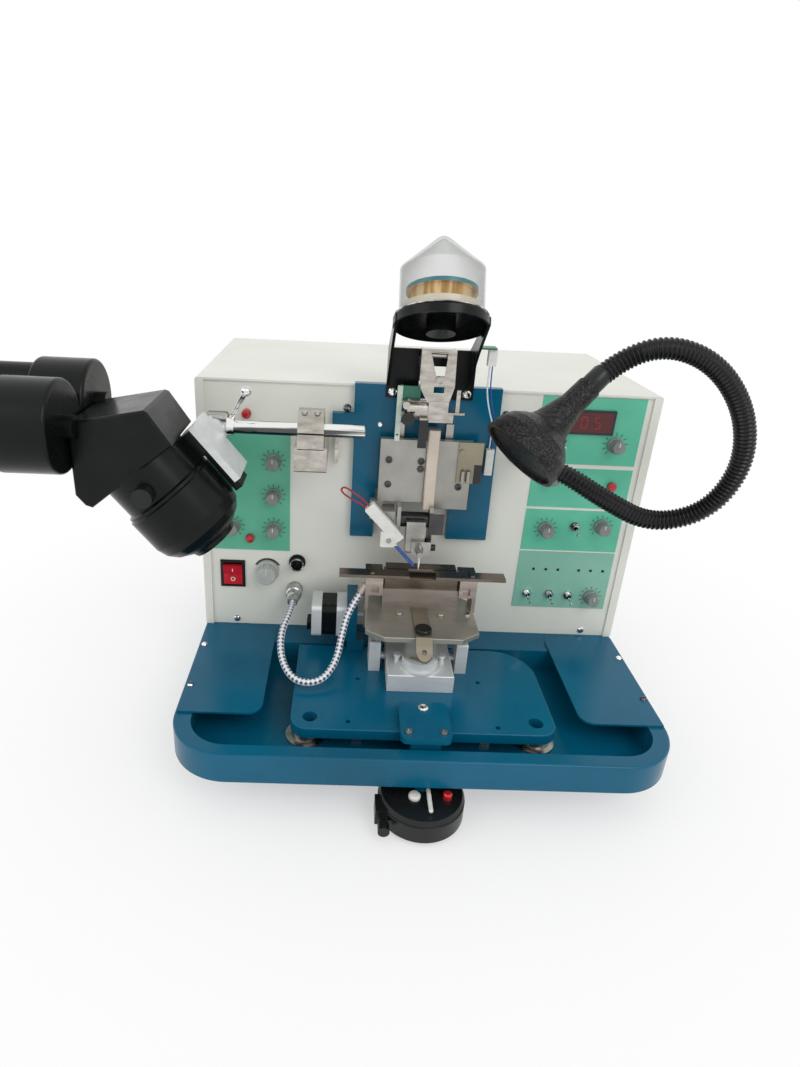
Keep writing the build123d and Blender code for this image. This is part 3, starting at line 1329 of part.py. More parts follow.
def make_microscope():
    body = scope_turned([
        (0, -46), (scope_neck_radius, -46), (scope_neck_radius, -17), (scope_radius - 1.4, -15.5),
        (scope_radius - 1.4, -13), (scope_radius, -12), (scope_radius, 17), (scope_radius - 2.6, 26),
        (scope_radius - 8, 33), (scope_radius - 16, 38), (scope_end_radius, 39.5), (scope_end_radius - 2, 44),
        (0, 44),
    ])
    prism = panel_face(prism_outline, scope_centre[1] - prism_width / 2, prism_width)
    prism = chamfer(prism.edges().filter_by(Axis.Y).sort_by(Axis.Z)[-3:], 2.0)
    prism = fillet(prism.faces().sort_by(Axis.Y)[0].edges(), 2.5)
    prism = fillet(prism.faces().sort_by(Axis.Y)[-1].edges(), 2.5)
    shoe = scope_block(scope_neck_radius - 4, slide_gap_m + 1, mount_front + 8, mount_rear - 6, -40, -17)
    shoe += scope_block(scope_radius + 0.5, slide_gap_m + 1, mount_front + 8, mount_rear - 6, -40, 22)
    body = merged([body, prism, shoe])
    x, _, z = on_scope(0, 0, zoom_along_axis)
    body -= fore_and_aft_bar(x, scope_centre[1] - 60, scope_centre[1] + 60, z, zoom_shaft_radius + fit)
    for side in (-1, 1):
        y = scope_centre[1] + side * ocular_spacing / 2
        body -= crossways_bar(ocular_right - 1, ocular_right + 8 + gap, y, ocular_z, 9 + fit)
    save("microscope_body", body)
    knob = fore_and_aft_bar(x, scope_centre[1] - scope_neck_radius - 11, scope_centre[1] - scope_neck_radius - 1, z,
                            zoom_knob_radius)
    knob += fore_and_aft_bar(x, scope_centre[1] + scope_neck_radius + 1, scope_centre[1] + scope_neck_radius + 11, z,
                             zoom_knob_radius)
    knob += fore_and_aft_bar(x, scope_centre[1] - scope_neck_radius - 2, scope_centre[1] + scope_neck_radius + 2, z,
                             zoom_shaft_radius)
    save("zoom_knob", knob)


def scope_turned(points):
    """A turned piece on the optical axis, from points of radius and distance down the axis."""
    outline = make_face(Polyline([(r, 0, -w) for r, w in points], close=True))
    return scope_frame * revolve(outline, Axis.Z)


def make_oculars():
    """Drum-shaped prism houses with an offset eyepiece tube each, turning on their own axes."""
    left = ocular_right - ocular_length
    for name, side in (("near_ocular", -1), ("far_ocular", 1)):
        y = scope_centre[1] + side * ocular_spacing / 2
        drum = crossways_bar(left, ocular_right - gap, y, ocular_z, ocular_radius)
        drum = fillet(drum.edges().filter_by(GeomType.CIRCLE), 3)
        drum += crossways_bar(ocular_right - 1, ocular_right + 8, y, ocular_z, 9)
        tube_y = y - side * 5
        tube_z = ocular_z + ocular_tube_offset
        end = left - ocular_tube_length
        drum += crossways_bar(end, left + 1, tube_y, tube_z, ocular_tube_radius)
        cup = crossways_bar(end - eyecup_length, end, tube_y, tube_z, eyecup_radius)
        cup = fillet(cup.edges().filter_by(GeomType.CIRCLE), 1.6)
        cup -= crossways_bar(end - eyecup_length - 1, end - eyecup_length + 3, tube_y, tube_z, eyecup_radius - 4)
        save(name, drum + cup)


# Lamp

def make_lamp():
    axis = Vector(*lamp_axis).normalized()
    rim_centre = Vector(*lamp_rim)
    back = rim_centre + axis * lamp_length
    head = revolve_up([
        (0, 2.5), (lamp_rim_radius - 3, 2.5), (lamp_rim_radius - 3, 0), (lamp_rim_radius, 0),
        (lamp_rim_radius, 6), (lamp_rim_radius - 1.5, 14), (lamp_rim_radius - 5, 21),
        (lamp_rim_radius - 11, 27), (18.5, 31), (16.5, 36), (12, 54), (10.6, 60), (10.2, lamp_length), (0, lamp_length),
    ])
    save("lamp_head", Plane(origin=rim_centre, z_dir=axis) * head)
    end = back + axis * gap
    points = gooseneck_points + [tuple(end + axis * 28), tuple(end)]
    neck = bent_tube(points, gooseneck_radius, "gooseneck")
    x, y, z = gooseneck_points[0]
    flange = revolve_forward([
        (0, 0), (13, 0), (13, 2.4), (11, 2.4), (11, 5.2), (0, 5.2),
    ], x, 0, z)
    collar = fore_and_aft_bar(x, y, -5, z, gooseneck_radius + 0.8)
    save("lamp_gooseneck", merged([flange, collar, neck]))


# Heater cable, which the plug and the heater bracket hold at its two ends

def make_heater_cable():
    x, z = plug_place
    start = -plug_length - gap
    points = [(x, start, z), (x, start - cable_straight, z)] + cable_loop
    points.append(tuple(cable_end - cable_entry * gap))
    save("heater_cable", bent_tube(points, cable_radius, "heater cable"))


make_feet()
make_tray()
make_cabinet_cover()
make_front_panel()
make_panel_sheets()
make_knobs()
make_push_buttons()
make_toggles()
make_rocker()
make_electrical_sockets()
make_fasteners()
make_hand_rests()
make_rolling_guides()
make_cross_carriage()
make_stage_plate()
make_stage_brackets()
make_motor()
make_mouse()
make_step_slide()
make_work_table()
make_heater()
make_clamp_knob()
make_head_plate()
make_head_slide()
make_bond_arm()
make_torch()
make_spool_bracket()
make_wire_feed()
make_spool()
make_microscope_arm()
make_focus_mount()
make_microscope()
make_oculars()
make_lamp()
make_heater_cable()
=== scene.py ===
import math

import bpy
import bmesh
from mathutils import Matrix, Vector


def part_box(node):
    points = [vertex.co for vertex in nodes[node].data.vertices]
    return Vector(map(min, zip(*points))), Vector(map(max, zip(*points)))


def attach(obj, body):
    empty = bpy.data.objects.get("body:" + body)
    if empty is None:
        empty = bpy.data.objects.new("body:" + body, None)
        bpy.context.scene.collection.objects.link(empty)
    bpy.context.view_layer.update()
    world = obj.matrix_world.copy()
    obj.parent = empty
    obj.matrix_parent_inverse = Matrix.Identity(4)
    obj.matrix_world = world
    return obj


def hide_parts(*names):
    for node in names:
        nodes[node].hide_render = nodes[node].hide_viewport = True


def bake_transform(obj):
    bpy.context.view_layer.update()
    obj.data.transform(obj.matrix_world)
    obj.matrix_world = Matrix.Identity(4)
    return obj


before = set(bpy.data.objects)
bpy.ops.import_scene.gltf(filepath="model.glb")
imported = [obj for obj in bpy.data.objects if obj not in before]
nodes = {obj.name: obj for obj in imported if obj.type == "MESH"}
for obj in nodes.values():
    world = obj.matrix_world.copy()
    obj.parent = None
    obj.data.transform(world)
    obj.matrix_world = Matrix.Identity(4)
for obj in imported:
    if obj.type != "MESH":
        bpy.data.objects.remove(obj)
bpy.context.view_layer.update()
print("frame loaded:", len(nodes), "nodes")

mm = 0.001


# Camera at the height of a standing operator's eyes, a little to the left
cameraSettings = {
    "location": (-0.07946, -0.63614, 0.47190),
    "turn": (66.1700, -2.6345, -0.4711),
    "lens": 23.126,
    "shift": (0.0387, -0.0110),
}
bpy.ops.object.camera_add(location=cameraSettings["location"],
                          rotation=[math.radians(a) for a in cameraSettings["turn"]])
camera = bpy.context.object
camera.name = "benchCamera"
camera.data.lens = cameraSettings["lens"]
camera.data.sensor_fit = "AUTO"
camera.data.shift_x, camera.data.shift_y = cameraSettings["shift"]
camera.data.clip_start, camera.data.clip_end = 0.01, 100
bpy.context.scene.camera = camera


# Small helpers for modelling

def deselectAll():
    if bpy.context.object and bpy.context.object.mode != "OBJECT":
        bpy.ops.object.mode_set(mode="OBJECT")
    bpy.ops.object.select_all(action="DESELECT")


def makeActive(obj):
    deselectAll()
    obj.select_set(True)
    bpy.context.view_layer.objects.active = obj


def settle(obj, name):
    # the place goes into the mesh, so that object coordinates are the bench's own
    makeActive(obj)
    bpy.ops.object.transform_apply(location=True, rotation=True, scale=True)
    obj.name = name
    obj.data.name = name
    return obj


def applyModifiers(obj):
    makeActive(obj)
    for modifier in list(obj.modifiers):
        bpy.ops.object.modifier_apply(modifier=modifier.name)


def joined(pieces, name):
    makeActive(pieces[0])
    for piece in pieces:
        piece.select_set(True)
    if len(pieces) > 1:
        bpy.ops.object.join()
    return settle(bpy.context.object, name)


def finished(obj, body, look):
    # paint and the body that the piece rides on
    obj.data.materials.clear()
    obj.data.materials.append(paint[look])
    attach(obj, body)
    return obj


def addBlock(low, high, bevel=0.0, segments=2):
    # a block between two corners in millimetres, edges rounded by bevel
    deselectAll()
    centre = [(a + b) / 2 * mm for a, b in zip(low, high)]
    size = [(b - a) * mm for a, b in zip(low, high)]
    bpy.ops.mesh.primitive_cube_add(size=1, location=centre)
    block = bpy.context.object
    block.scale = size
    bpy.ops.object.transform_apply(location=True, rotation=True, scale=True)
    if bevel:
        bpy.ops.object.mode_set(mode="EDIT")
        bpy.ops.mesh.select_all(action="SELECT")
        bpy.ops.mesh.bevel(offset=bevel * mm, segments=segments, profile=0.6)
        bpy.ops.object.mode_set(mode="OBJECT")
    return block


def addBar(start, end, radius, sides=24, bevel=0.0):
    # a round bar between two points in millimetres
    deselectAll()
    a, b = Vector(start) * mm, Vector(end) * mm
    bpy.ops.mesh.primitive_cylinder_add(radius=radius * mm, depth=(b - a).length, vertices=sides,
                                        location=(a + b) / 2,
                                        rotation=(b - a).to_track_quat("Z", "Y").to_euler())
    bar = bpy.context.object
    bpy.ops.object.transform_apply(location=True, rotation=True, scale=True)
    if bevel:
        bpy.ops.object.mode_set(mode="EDIT")
        bm = bmesh.from_edit_mesh(bar.data)
        axis = (b - a).normalized()
        for face in bm.faces:
            face.select = abs(face.normal.dot(axis)) > 0.9
        bmesh.update_edit_mesh(bar.data)
        bpy.ops.mesh.select_mode(type="FACE")
        bpy.ops.mesh.region_to_loop()
        bpy.ops.mesh.bevel(offset=bevel * mm, segments=2)
        bpy.ops.object.mode_set(mode="OBJECT")
    makeActive(bar)
    bpy.ops.object.shade_smooth_by_angle(angle=math.radians(35))
    return bar


def placedCopy(obj, matrix):
    # a copy with its own mesh, put in its place
    twin = obj.copy()
    twin.data = obj.data.copy()
    bpy.context.scene.collection.objects.link(twin)
    twin.data.transform(matrix)
    return twin


def smoothLine(points, name):
    # a smooth open line led by these points in millimetres
    deselectAll()
    bpy.ops.curve.primitive_nurbs_path_add()
    line = bpy.context.object
    line.name = name
    line.data.name = name
    line.data.splines.clear()
    spline = line.data.splines.new("NURBS")
    spline.points.add(len(points) - 1)
    for point, place in zip(spline.points, points):
        point.co = (*(Vector(place) * mm), 1)
    spline.order_u = 3
    spline.use_endpoint_u = True
    spline.resolution_u = 16
    return line


def placesAlong(line):
    mesh = bpy.data.meshes.new_from_object(line)
    places = [vertex.co.copy() for vertex in mesh.vertices]
    bpy.data.meshes.remove(mesh)
    return places


def lengthOf(places):
    return sum((b - a).length for a, b in zip(places, places[1:]))


def bentAlong(obj, line, name):
    # a straight piece along X takes the line's shape, and the line goes
    follow = obj.modifiers.new("follow", "CURVE")
    follow.object = line
    follow.deform_axis = "POS_X"
    applyModifiers(obj)
    bpy.data.objects.remove(line)
    return settle(obj, name)


# Materials: each finish is one dictionary, and the pattern is on object coordinates

def newMaterial(name):
    material = bpy.data.materials.new(name)
    material.use_nodes = True
    tree = material.node_tree
    shader = tree.nodes["Principled BSDF"]
    where = tree.nodes.new("ShaderNodeTexCoord")
    return material, tree, shader, where


def noiseNode(tree, where, scale, detail=4, stretch=None, roughness=0.55):
    noise = tree.nodes.new("ShaderNodeTexNoise")
    noise.inputs["Scale"].default_value = scale
    noise.inputs["Detail"].default_value = detail
    noise.inputs["Roughness"].default_value = roughness
    source = where.outputs["Object"]
    if stretch:
        mapping = tree.nodes.new("ShaderNodeMapping")
        mapping.inputs["Scale"].default_value = stretch
        tree.links.new(source, mapping.inputs["Vector"])
        source = mapping.outputs["Vector"]
    tree.links.new(source, noise.inputs["Vector"])
    return noise


def rampNode(tree, source, stops):
    ramp = tree.nodes.new("ShaderNodeValToRGB")
    while len(ramp.color_ramp.elements) < len(stops):
        ramp.color_ramp.elements.new(0.5)
    for element, (place, colour) in zip(ramp.color_ramp.elements, stops):
        element.position = place
        element.color = (*colour, 1)
    tree.links.new(source, ramp.inputs["Fac"])
    return ramp


def rangeNode(tree, source, low, high, toLow, toHigh):
    node = tree.nodes.new("ShaderNodeMapRange")
    node.inputs["From Min"].default_value = low
    node.inputs["From Max"].default_value = high
    node.inputs["To Min"].default_value = toLow
    node.inputs["To Max"].default_value = toHigh
    tree.links.new(source, node.inputs["Value"])
    return node


def mathNode(tree, operation, first, second=None):
    node = tree.nodes.new("ShaderNodeMath")
    node.operation = operation
    for socket, source in zip(node.inputs, (first, second)):
        if isinstance(source, (int, float)):
            socket.default_value = source
        elif source is not None:
            tree.links.new(source, socket)
    return node.outputs[0]


def bumpNode(tree, shader, source, strength, depth):
    bump = tree.nodes.new("ShaderNodeBump")
    bump.inputs["Strength"].default_value = strength
    bump.inputs["Distance"].default_value = depth
    tree.links.new(source, bump.inputs["Height"])
    tree.links.new(bump.outputs["Normal"], shader.inputs["Normal"])


def zoneMask(tree, axes, low, high):
    # 1 inside a box given in millimetres and 0 outside it
    mask = None
    for axis, a, b in zip("XYZ", low, high):
        node = tree.nodes.new("ShaderNodeMath")
        node.operation = "COMPARE"
        node.inputs[1].default_value = (a + b) / 2 * mm
        node.inputs[2].default_value = (b - a) / 2 * mm
        tree.links.new(axes.outputs[axis], node.inputs[0])
        mask = mathNode(tree, "MULTIPLY", mask, node.outputs[0]) if mask else node.outputs[0]
    return mask


def mixed(tree, kind, mask, first, second):
    # first outside the mask and second inside it, for colours or for plain numbers
    node = tree.nodes.new("ShaderNodeMix")
    node.data_type = kind
    sockets = [s for s in node.inputs if s.type == ("RGBA" if kind == "RGBA" else "VALUE")]
    inputs = sockets if kind == "RGBA" else sockets[1:]
    tree.links.new(mask, node.inputs[0])
    for socket, source in zip(inputs, (first, second)):
        if isinstance(source, (int, float)):
            socket.default_value = source
        else:
            tree.links.new(source, socket)
    return [s for s in node.outputs if s.type == ("RGBA" if kind == "RGBA" else "VALUE")][0]


def toneOf(tree, tone, settings):
    # the colour and roughness of a finish, which both change slowly over the surface
    colour = settings["colour"]
    other = settings.get("other", [c * 0.82 for c in colour])
    gloss, spread = settings["roughness"], settings.get("roughSpread", 0.08)
    low, high = settings.get("toneRange", (0.30, 0.70))
    ramp = rampNode(tree, tone.outputs["Fac"], [(low, other), (high, colour)])
    rough = rangeNode(tree, tone.outputs["Fac"], low, high, gloss + spread, gloss - spread)
    return ramp.outputs["Color"], rough.outputs["Result"]


def finish(name, settings, zones=()):
    material, tree, shader, where = newMaterial(name)
    tone = noiseNode(tree, where, settings.get("toneScale", 18), 5, settings.get("toneStretch"))
    colour, rough = toneOf(tree, tone, settings)
    metal = settings.get("metallic", 0.0)
    if zones:
        axes = tree.nodes.new("ShaderNodeSeparateXYZ")
        tree.links.new(where.outputs["Object"], axes.inputs["Vector"])
    for low, high, inside in zones:
        mask = zoneMask(tree, axes, low, high)
        zoneColour, zoneRough = toneOf(tree, tone, finishes[inside])
        colour = mixed(tree, "RGBA", mask, colour, zoneColour)
        rough = mixed(tree, "FLOAT", mask, rough, zoneRough)
        zoneMetal = finishes[inside].get("metallic", 0.0)
        if zoneMetal != metal:
            metal = mixed(tree, "FLOAT", mask, metal, zoneMetal)
    tree.links.new(colour, shader.inputs["Base Color"])
    tree.links.new(rough, shader.inputs["Roughness"])
    if isinstance(metal, float):
        shader.inputs["Metallic"].default_value = metal
    else:
        tree.links.new(metal, shader.inputs["Metallic"])
    grain = noiseNode(tree, where, settings.get("grainScale", 900), 3, settings.get("grainStretch"))
    bumpNode(tree, shader, grain.outputs["Fac"], settings.get("bump", 0.15), settings.get("depth", 0.0002))
    shader.inputs["Coat Weight"].default_value = settings.get("coat", 0.0)
    shader.inputs["Coat Roughness"].default_value = settings.get("coatRoughness", 0.1)
    shader.inputs["Specular IOR Level"].default_value = settings.get("specular", 0.5)
    return material


finishes = {
    "tealPaint": {"colour": (0.001, 0.115, 0.212), "other": (0.001, 0.084, 0.152), "roughness": 0.24,
                  "toneScale": 9, "grainScale": 700, "bump": 0.10, "depth": 0.00012, "specular": 0.28},
    "cabinetPaint": {"colour": (0.78, 0.79, 0.72), "other": (0.71, 0.72, 0.65), "roughness": 0.40,
                     "toneScale": 6, "grainScale": 1100, "bump": 0.14, "depth": 0.00012},
    "greyPlastic": {"colour": (0.24, 0.26, 0.25), "other": (0.17, 0.19, 0.18), "roughness": 0.42,
                    "toneScale": 120, "grainScale": 2500, "bump": 0.12},
    "blackPlastic": {"colour": (0.010, 0.011, 0.011), "other": (0.005, 0.006, 0.006), "roughness": 0.30,
                     "toneScale": 60, "grainScale": 2200, "bump": 0.15, "specular": 0.35},
    "palePlastic": {"colour": (0.46, 0.48, 0.46), "other": (0.36, 0.38, 0.36), "roughness": 0.38,
                    "toneScale": 120, "grainScale": 2500, "bump": 0.1},
    "redPlastic": {"colour": (0.50, 0.010, 0.016), "other": (0.36, 0.005, 0.010), "roughness": 0.22,
                   "toneScale": 150, "grainScale": 1500, "bump": 0.03, "coat": 0.4},
    "whitePlastic": {"colour": (0.80, 0.80, 0.76), "other": (0.66, 0.66, 0.62), "roughness": 0.35,
                     "toneScale": 90, "grainScale": 1500, "bump": 0.06},
    "milledAluminium": {"colour": (0.66, 0.67, 0.66), "other": (0.42, 0.43, 0.43), "roughness": 0.27,
                        "metallic": 1.0, "toneScale": 22, "toneStretch": (1.4, 1, 4), "grainScale": 1500,
                        "grainStretch": (1, 8, 8), "bump": 0.05, "depth": 0.00004},
    "warmSteel": {"colour": (0.36, 0.315, 0.285), "other": (0.25, 0.215, 0.19), "roughness": 0.42,
                  "metallic": 0.6, "toneScale": 26, "toneStretch": (1, 1, 5), "grainScale": 1300,
                  "grainStretch": (1, 9, 9), "bump": 0.05, "depth": 0.00004},
    "slidePlate": {"colour": (0.40, 0.39, 0.36), "other": (0.30, 0.29, 0.265), "roughness": 0.38,
                   "metallic": 0.55, "toneScale": 20, "grainScale": 1200, "grainStretch": (7, 7, 1),
                   "bump": 0.05, "depth": 0.00004},
    "bronzePlate": {"colour": (0.30, 0.27, 0.20), "other": (0.20, 0.175, 0.125), "roughness": 0.32,
                    "metallic": 0.7},
    "tanStrip": {"colour": (0.62, 0.55, 0.46), "other": (0.48, 0.41, 0.34), "roughness": 0.34,
                 "metallic": 0.4},
    "scorchedSteel": {"colour": (0.20, 0.165, 0.135), "other": (0.11, 0.088, 0.07), "roughness": 0.27,
                      "metallic": 0.9},
    "rosySteel": {"colour": (0.50, 0.43, 0.39), "other": (0.36, 0.30, 0.27), "roughness": 0.30,
                  "metallic": 0.8},
    "groundSteel": {"colour": (0.44, 0.43, 0.41), "other": (0.28, 0.27, 0.25), "roughness": 0.26,
                    "metallic": 1.0, "toneScale": 50, "grainScale": 1400, "grainStretch": (8, 1, 1),
                    "bump": 0.06, "depth": 0.00005},
    # chrome: the dark streaks in its colour are painted reflections of dark surroundings
    "brightChrome": {"colour": (0.84, 0.84, 0.82), "other": (0.10, 0.10, 0.10), "roughness": 0.12,
                     "roughSpread": 0.03, "metallic": 1.0, "toneScale": 30, "toneStretch": (0.22, 4, 6),
                     "toneRange": (0.42, 0.54), "grainScale": 500, "bump": 0.02, "depth": 0.00005},
    "feedSteel": {"colour": (0.60, 0.57, 0.52), "other": (0.34, 0.31, 0.27), "roughness": 0.24,
                  "metallic": 0.9, "toneScale": 60, "toneStretch": (1, 1, 3), "grainScale": 900,
                  "bump": 0.04, "depth": 0.00005},
    "satinSilver": {"colour": (0.74, 0.76, 0.76), "other": (0.60, 0.62, 0.62), "roughness": 0.42,
                    "metallic": 0.35, "toneScale": 24, "toneStretch": (1, 1, 4), "grainScale": 1400,
                    "grainStretch": (1, 8, 8), "bump": 0.05, "depth": 0.00004},
    "tableSteel": {"colour": (0.38, 0.37, 0.32), "other": (0.27, 0.26, 0.22), "roughness": 0.34,
                   "metallic": 0.6, "toneScale": 16, "toneStretch": (1, 2.4, 3), "grainScale": 1300,
                   "grainStretch": (8, 1, 1), "bump": 0.05, "depth": 0.00004},
    "darkSteel": {"colour": (0.11, 0.11, 0.11), "other": (0.05, 0.05, 0.05), "roughness": 0.30,
                  "metallic": 0.8, "toneScale": 90, "grainScale": 1400, "bump": 0.05, "depth": 0.00005},
    "greyMint": {"colour": (0.230, 0.500, 0.390), "other": (0.200, 0.450, 0.345), "roughness": 0.42},
    "blackEnamel": {"colour": (0.005, 0.006, 0.006), "other": (0.002, 0.003, 0.003), "roughness": 0.26,
                    "toneScale": 30, "grainScale": 1300, "bump": 0.12, "depth": 0.00012, "specular": 0.2},
    # lamp enamel: the pale flecks in its colour are painted highlights on the wrinkle texture
    "lampEnamel": {"colour": (0.045, 0.045, 0.046), "other": (0.003, 0.003, 0.003), "roughness": 0.30,
                   "toneScale": 620, "toneRange": (0.48, 0.66), "grainScale": 620, "bump": 1.0,
                   "depth": 0.0006, "specular": 0.22},
    "blackRubber": {"colour": (0.007, 0.007, 0.007), "other": (0.003, 0.003, 0.003), "roughness": 0.26,
                    "toneScale": 70, "grainScale": 1800, "bump": 0.08, "specular": 0.3},
    "footRubber": {"colour": (0.022, 0.022, 0.022), "other": (0.012, 0.012, 0.012), "roughness": 0.7,
                   "toneScale": 80, "grainScale": 1400, "bump": 0.3},
    "greenBoard": {"colour": (0.03, 0.20, 0.12), "other": (0.02, 0.13, 0.08), "roughness": 0.35},
    "paleStrip": {"colour": (0.62, 0.70, 0.62), "other": (0.48, 0.56, 0.48), "roughness": 0.4},
    "blueSleeve": {"colour": (0.02, 0.10, 0.42), "other": (0.01, 0.06, 0.28), "roughness": 0.32,
                   "toneScale": 200, "grainScale": 1500, "bump": 0.05},
    "redWire": {"colour": (0.40, 0.02, 0.03), "other": (0.28, 0.01, 0.02), "roughness": 0.4,
                "toneScale": 200, "grainScale": 1500, "bump": 0.05},
    "paleWire": {"colour": (0.80, 0.82, 0.80), "other": (0.66, 0.72, 0.74), "roughness": 0.35,
                 "toneScale": 160, "grainScale": 1500, "bump": 0.05},
    "blackInk": {"colour": (0.010, 0.018, 0.014), "other": (0.006, 0.011, 0.009), "roughness": 0.6,
                 "toneScale": 200, "grainScale": 2500, "bump": 0.05},
    "mintSheet": {"colour": (0.115, 0.540, 0.365), "other": (0.085, 0.460, 0.305), "roughness": 0.40,
                  "toneScale": 25, "grainScale": 2600, "bump": 0.12, "depth": 0.0001},
    # shadedMint is painted shadow: the microscope's shadow on the upper part of the left sheet
    "shadedMint": {"colour": (0.110, 0.470, 0.310), "other": (0.085, 0.400, 0.255), "roughness": 0.42},
}

# Boxes in millimetres where a node wears another finish
toggleBushes = [((x - 6, -9, z - 6), (x + 6, -0.2, z + 6), "brightChrome")
                for x, z in ((130.2, 285.8), (158.5, 195.5), (120.8, 116.8), (144.4, 116.5), (164.8, 116.1))]
zonedNodes = {
    "wire_feed": ("feedSteel", [
        ((-33.2, -27, 325.4), (-11.8, -11, 337.6), "greenBoard"),
        ((-33.2, -27, 285.8), (-28.2, -24.9, 337.6), "paleStrip"),
        ((-29.2, -40.4, 304.2), (-16.8, -35.9, 316.8), "blackPlastic"),
        ((-12.7, -38.2, 283.2), (-4.3, -29.8, 309.7), "blackPlastic"),
        ((33.8, -36.2, 373.7), (50.2, -23.8, 375.6), "greenBoard"),
        ((43.5, -34.2, 359.0), (51.2, -26.8, 373.7), "whitePlastic"),
        ((56.3, -14.2, 251.3), (64.2, -7.8, 277.2), "whitePlastic")]),
    "drive_motor": ("blackEnamel", [
        ((-105.2, -60, 80), (-95, -10, 125), "satinSilver"),
        ((-80, -60, 80), (-50, -10, 125), "satinSilver")]),
    "head_slide": ("slidePlate", [
        ((28.2, -27.5, 245.8), (51.7, -22.05, 286.7), "bronzePlate"),
        ((44.7, -24.0, 245.8), (52.1, -13.8, 268.2), "blackPlastic"),
        ((-1.9, -30.2, 219.8), (9.3, -22.1, 298.2), "tanStrip"),
        ((4.9, -38.2, 185.8), (19.1, -15, 218.2), "darkSteel")]),
    "heater_assembly": ("warmSteel", [
        ((-7.7, -129.2, 110), (7.7, -59.1, 128.6), "bronzePlate"),
        ((-35, -58, 148.2), (35, -33, 160.2), "scorchedSteel"),
        ((-60, -70, 125.9), (-36.7, -30, 163), "rosySteel"),
        ((36.7, -70, 125.9), (60, -30, 163), "rosySteel"),
        ((-80, -70, 163), (80, -20, 170), "scorchedSteel")]),
    "stage_brackets": ("tealPaint", [((-5, -152, 77.05), (5, -141, 82), "brightChrome")]),
    "electrical_sockets": ("blackPlastic", toggleBushes + [
        ((-135, -30, 102), (-116, 3, 121), "milledAluminium")]),
    "panel_sheets": ("mintSheet", [
        # painted shadow of the microscope on the upper part of the left sheet
        ((-212, -1, 150), (-125, 1, 292), "shadedMint"),
        ((106, -1, 99), (208, 1, 167), "greyMint"),
        ((121.8, -3.6, 292.8), (178.2, -0.82, 316.7), "blackPlastic")]),
    "torch_wand": ("whitePlastic", [((-27.2, -60, 168), (-6, -40, 187), "blueSleeve")]),
    "bond_arm": ("groundSteel", [
        ((-23, -36, 199), (5, -18, 217), "blackPlastic"),
        ((-6, -59, 168.5), (-2, -55, 183), "whitePlastic"),
        ((7.1, -47, 182), (12.2, -39, 190), "blackPlastic")]),
}
paint = {name: finish(name, settings) for name, settings in finishes.items()}
for node, (base, zones) in zonedNodes.items():
    words = node.split("_")
    paint[node] = finish(words[0] + "".join(word.title() for word in words[1:]), finishes[base], zones)


def spoolMaterial(settings):
    # one moulded reel: cream below, teal on top, and the wound wire between, set along the leaning axis
    material, tree, shader, where = newMaterial("spoolWinding")
    along = tree.nodes.new("ShaderNodeVectorMath")
    along.operation = "DOT_PRODUCT"
    along.inputs[1].default_value = settings["axis"]
    tree.links.new(where.outputs["Object"], along.inputs[0])
    height = rangeNode(tree, along.outputs["Value"], settings["bottom"], settings["top"], 0, 1)
    level = height.outputs["Result"]
    streaks = noiseNode(tree, where, settings["streakScale"], 2, settings["streakStretch"])
    gold = rampNode(tree, streaks.outputs["Fac"], [
        (0.38, settings["darkGold"]), (0.50, settings["gold"]), (0.62, settings["brightGold"])])
    bands = rampNode(tree, level, [(0.0, settings["cream"]), (settings["windingTo"], settings["teal"])])
    bands.color_ramp.interpolation = "CONSTANT"
    metal = rampNode(tree, level, [
        (0.0, (0, 0, 0)), (settings["windingFrom"], (1, 1, 1)), (settings["windingTo"], (0, 0, 0))])
    metal.color_ramp.interpolation = "CONSTANT"
    colour = mixed(tree, "RGBA", metal.outputs["Color"], bands.outputs["Color"], gold.outputs["Color"])
    tree.links.new(colour, shader.inputs["Base Color"])
    tree.links.new(mathNode(tree, "MULTIPLY", metal.outputs["Color"], 0.6), shader.inputs["Metallic"])
    turns = mathNode(tree, "SINE", mathNode(tree, "MULTIPLY", level, settings["turns"] * 2 * math.pi))
    bumpNode(tree, shader, mathNode(tree, "MULTIPLY", turns, metal.outputs["Color"]), 0.5, 0.0001)
    shader.inputs["Roughness"].default_value = 0.30
    return material


spoolLook = {
    "axis": (0, 0.436802, 0.899558), "bottom": 0.33601, "top": 0.35801, "windingFrom": 0.323,
    "windingTo": 0.841, "turns": 56, "streakScale": 210, "streakStretch": (1, 0.2, 0.05),
    "cream": (0.88, 0.80, 0.64), "teal": (0.01, 0.20, 0.24),
    "gold": (0.72, 0.42, 0.10), "darkGold": (0.46, 0.25, 0.05), "brightGold": (0.95, 0.74, 0.42),
}


def clearMaterial(settings):
    # thin clear moulding that thickens to the eye at its sides
    material, tree, shader, where = newMaterial("clearCover")
    haze = noiseNode(tree, where, 40, 3)
    colour = rampNode(tree, haze.outputs["Fac"], [(0.3, settings["colour"]), (0.7, settings["other"])])
    tree.links.new(colour.outputs["Color"], shader.inputs["Base Color"])
    rough = rangeNode(tree, haze.outputs["Fac"], 0.3, 0.7, 0.14, 0.06)
    tree.links.new(rough.outputs["Result"], shader.inputs["Roughness"])
    side = tree.nodes.new("ShaderNodeLayerWeight")
    side.inputs["Blend"].default_value = 0.35
    alpha = rangeNode(tree, side.outputs["Facing"], 0, 1, settings["thin"], settings["thick"])
    tree.links.new(alpha.outputs["Result"], shader.inputs["Alpha"])
    shader.inputs["IOR"].default_value = 1.46
    return material


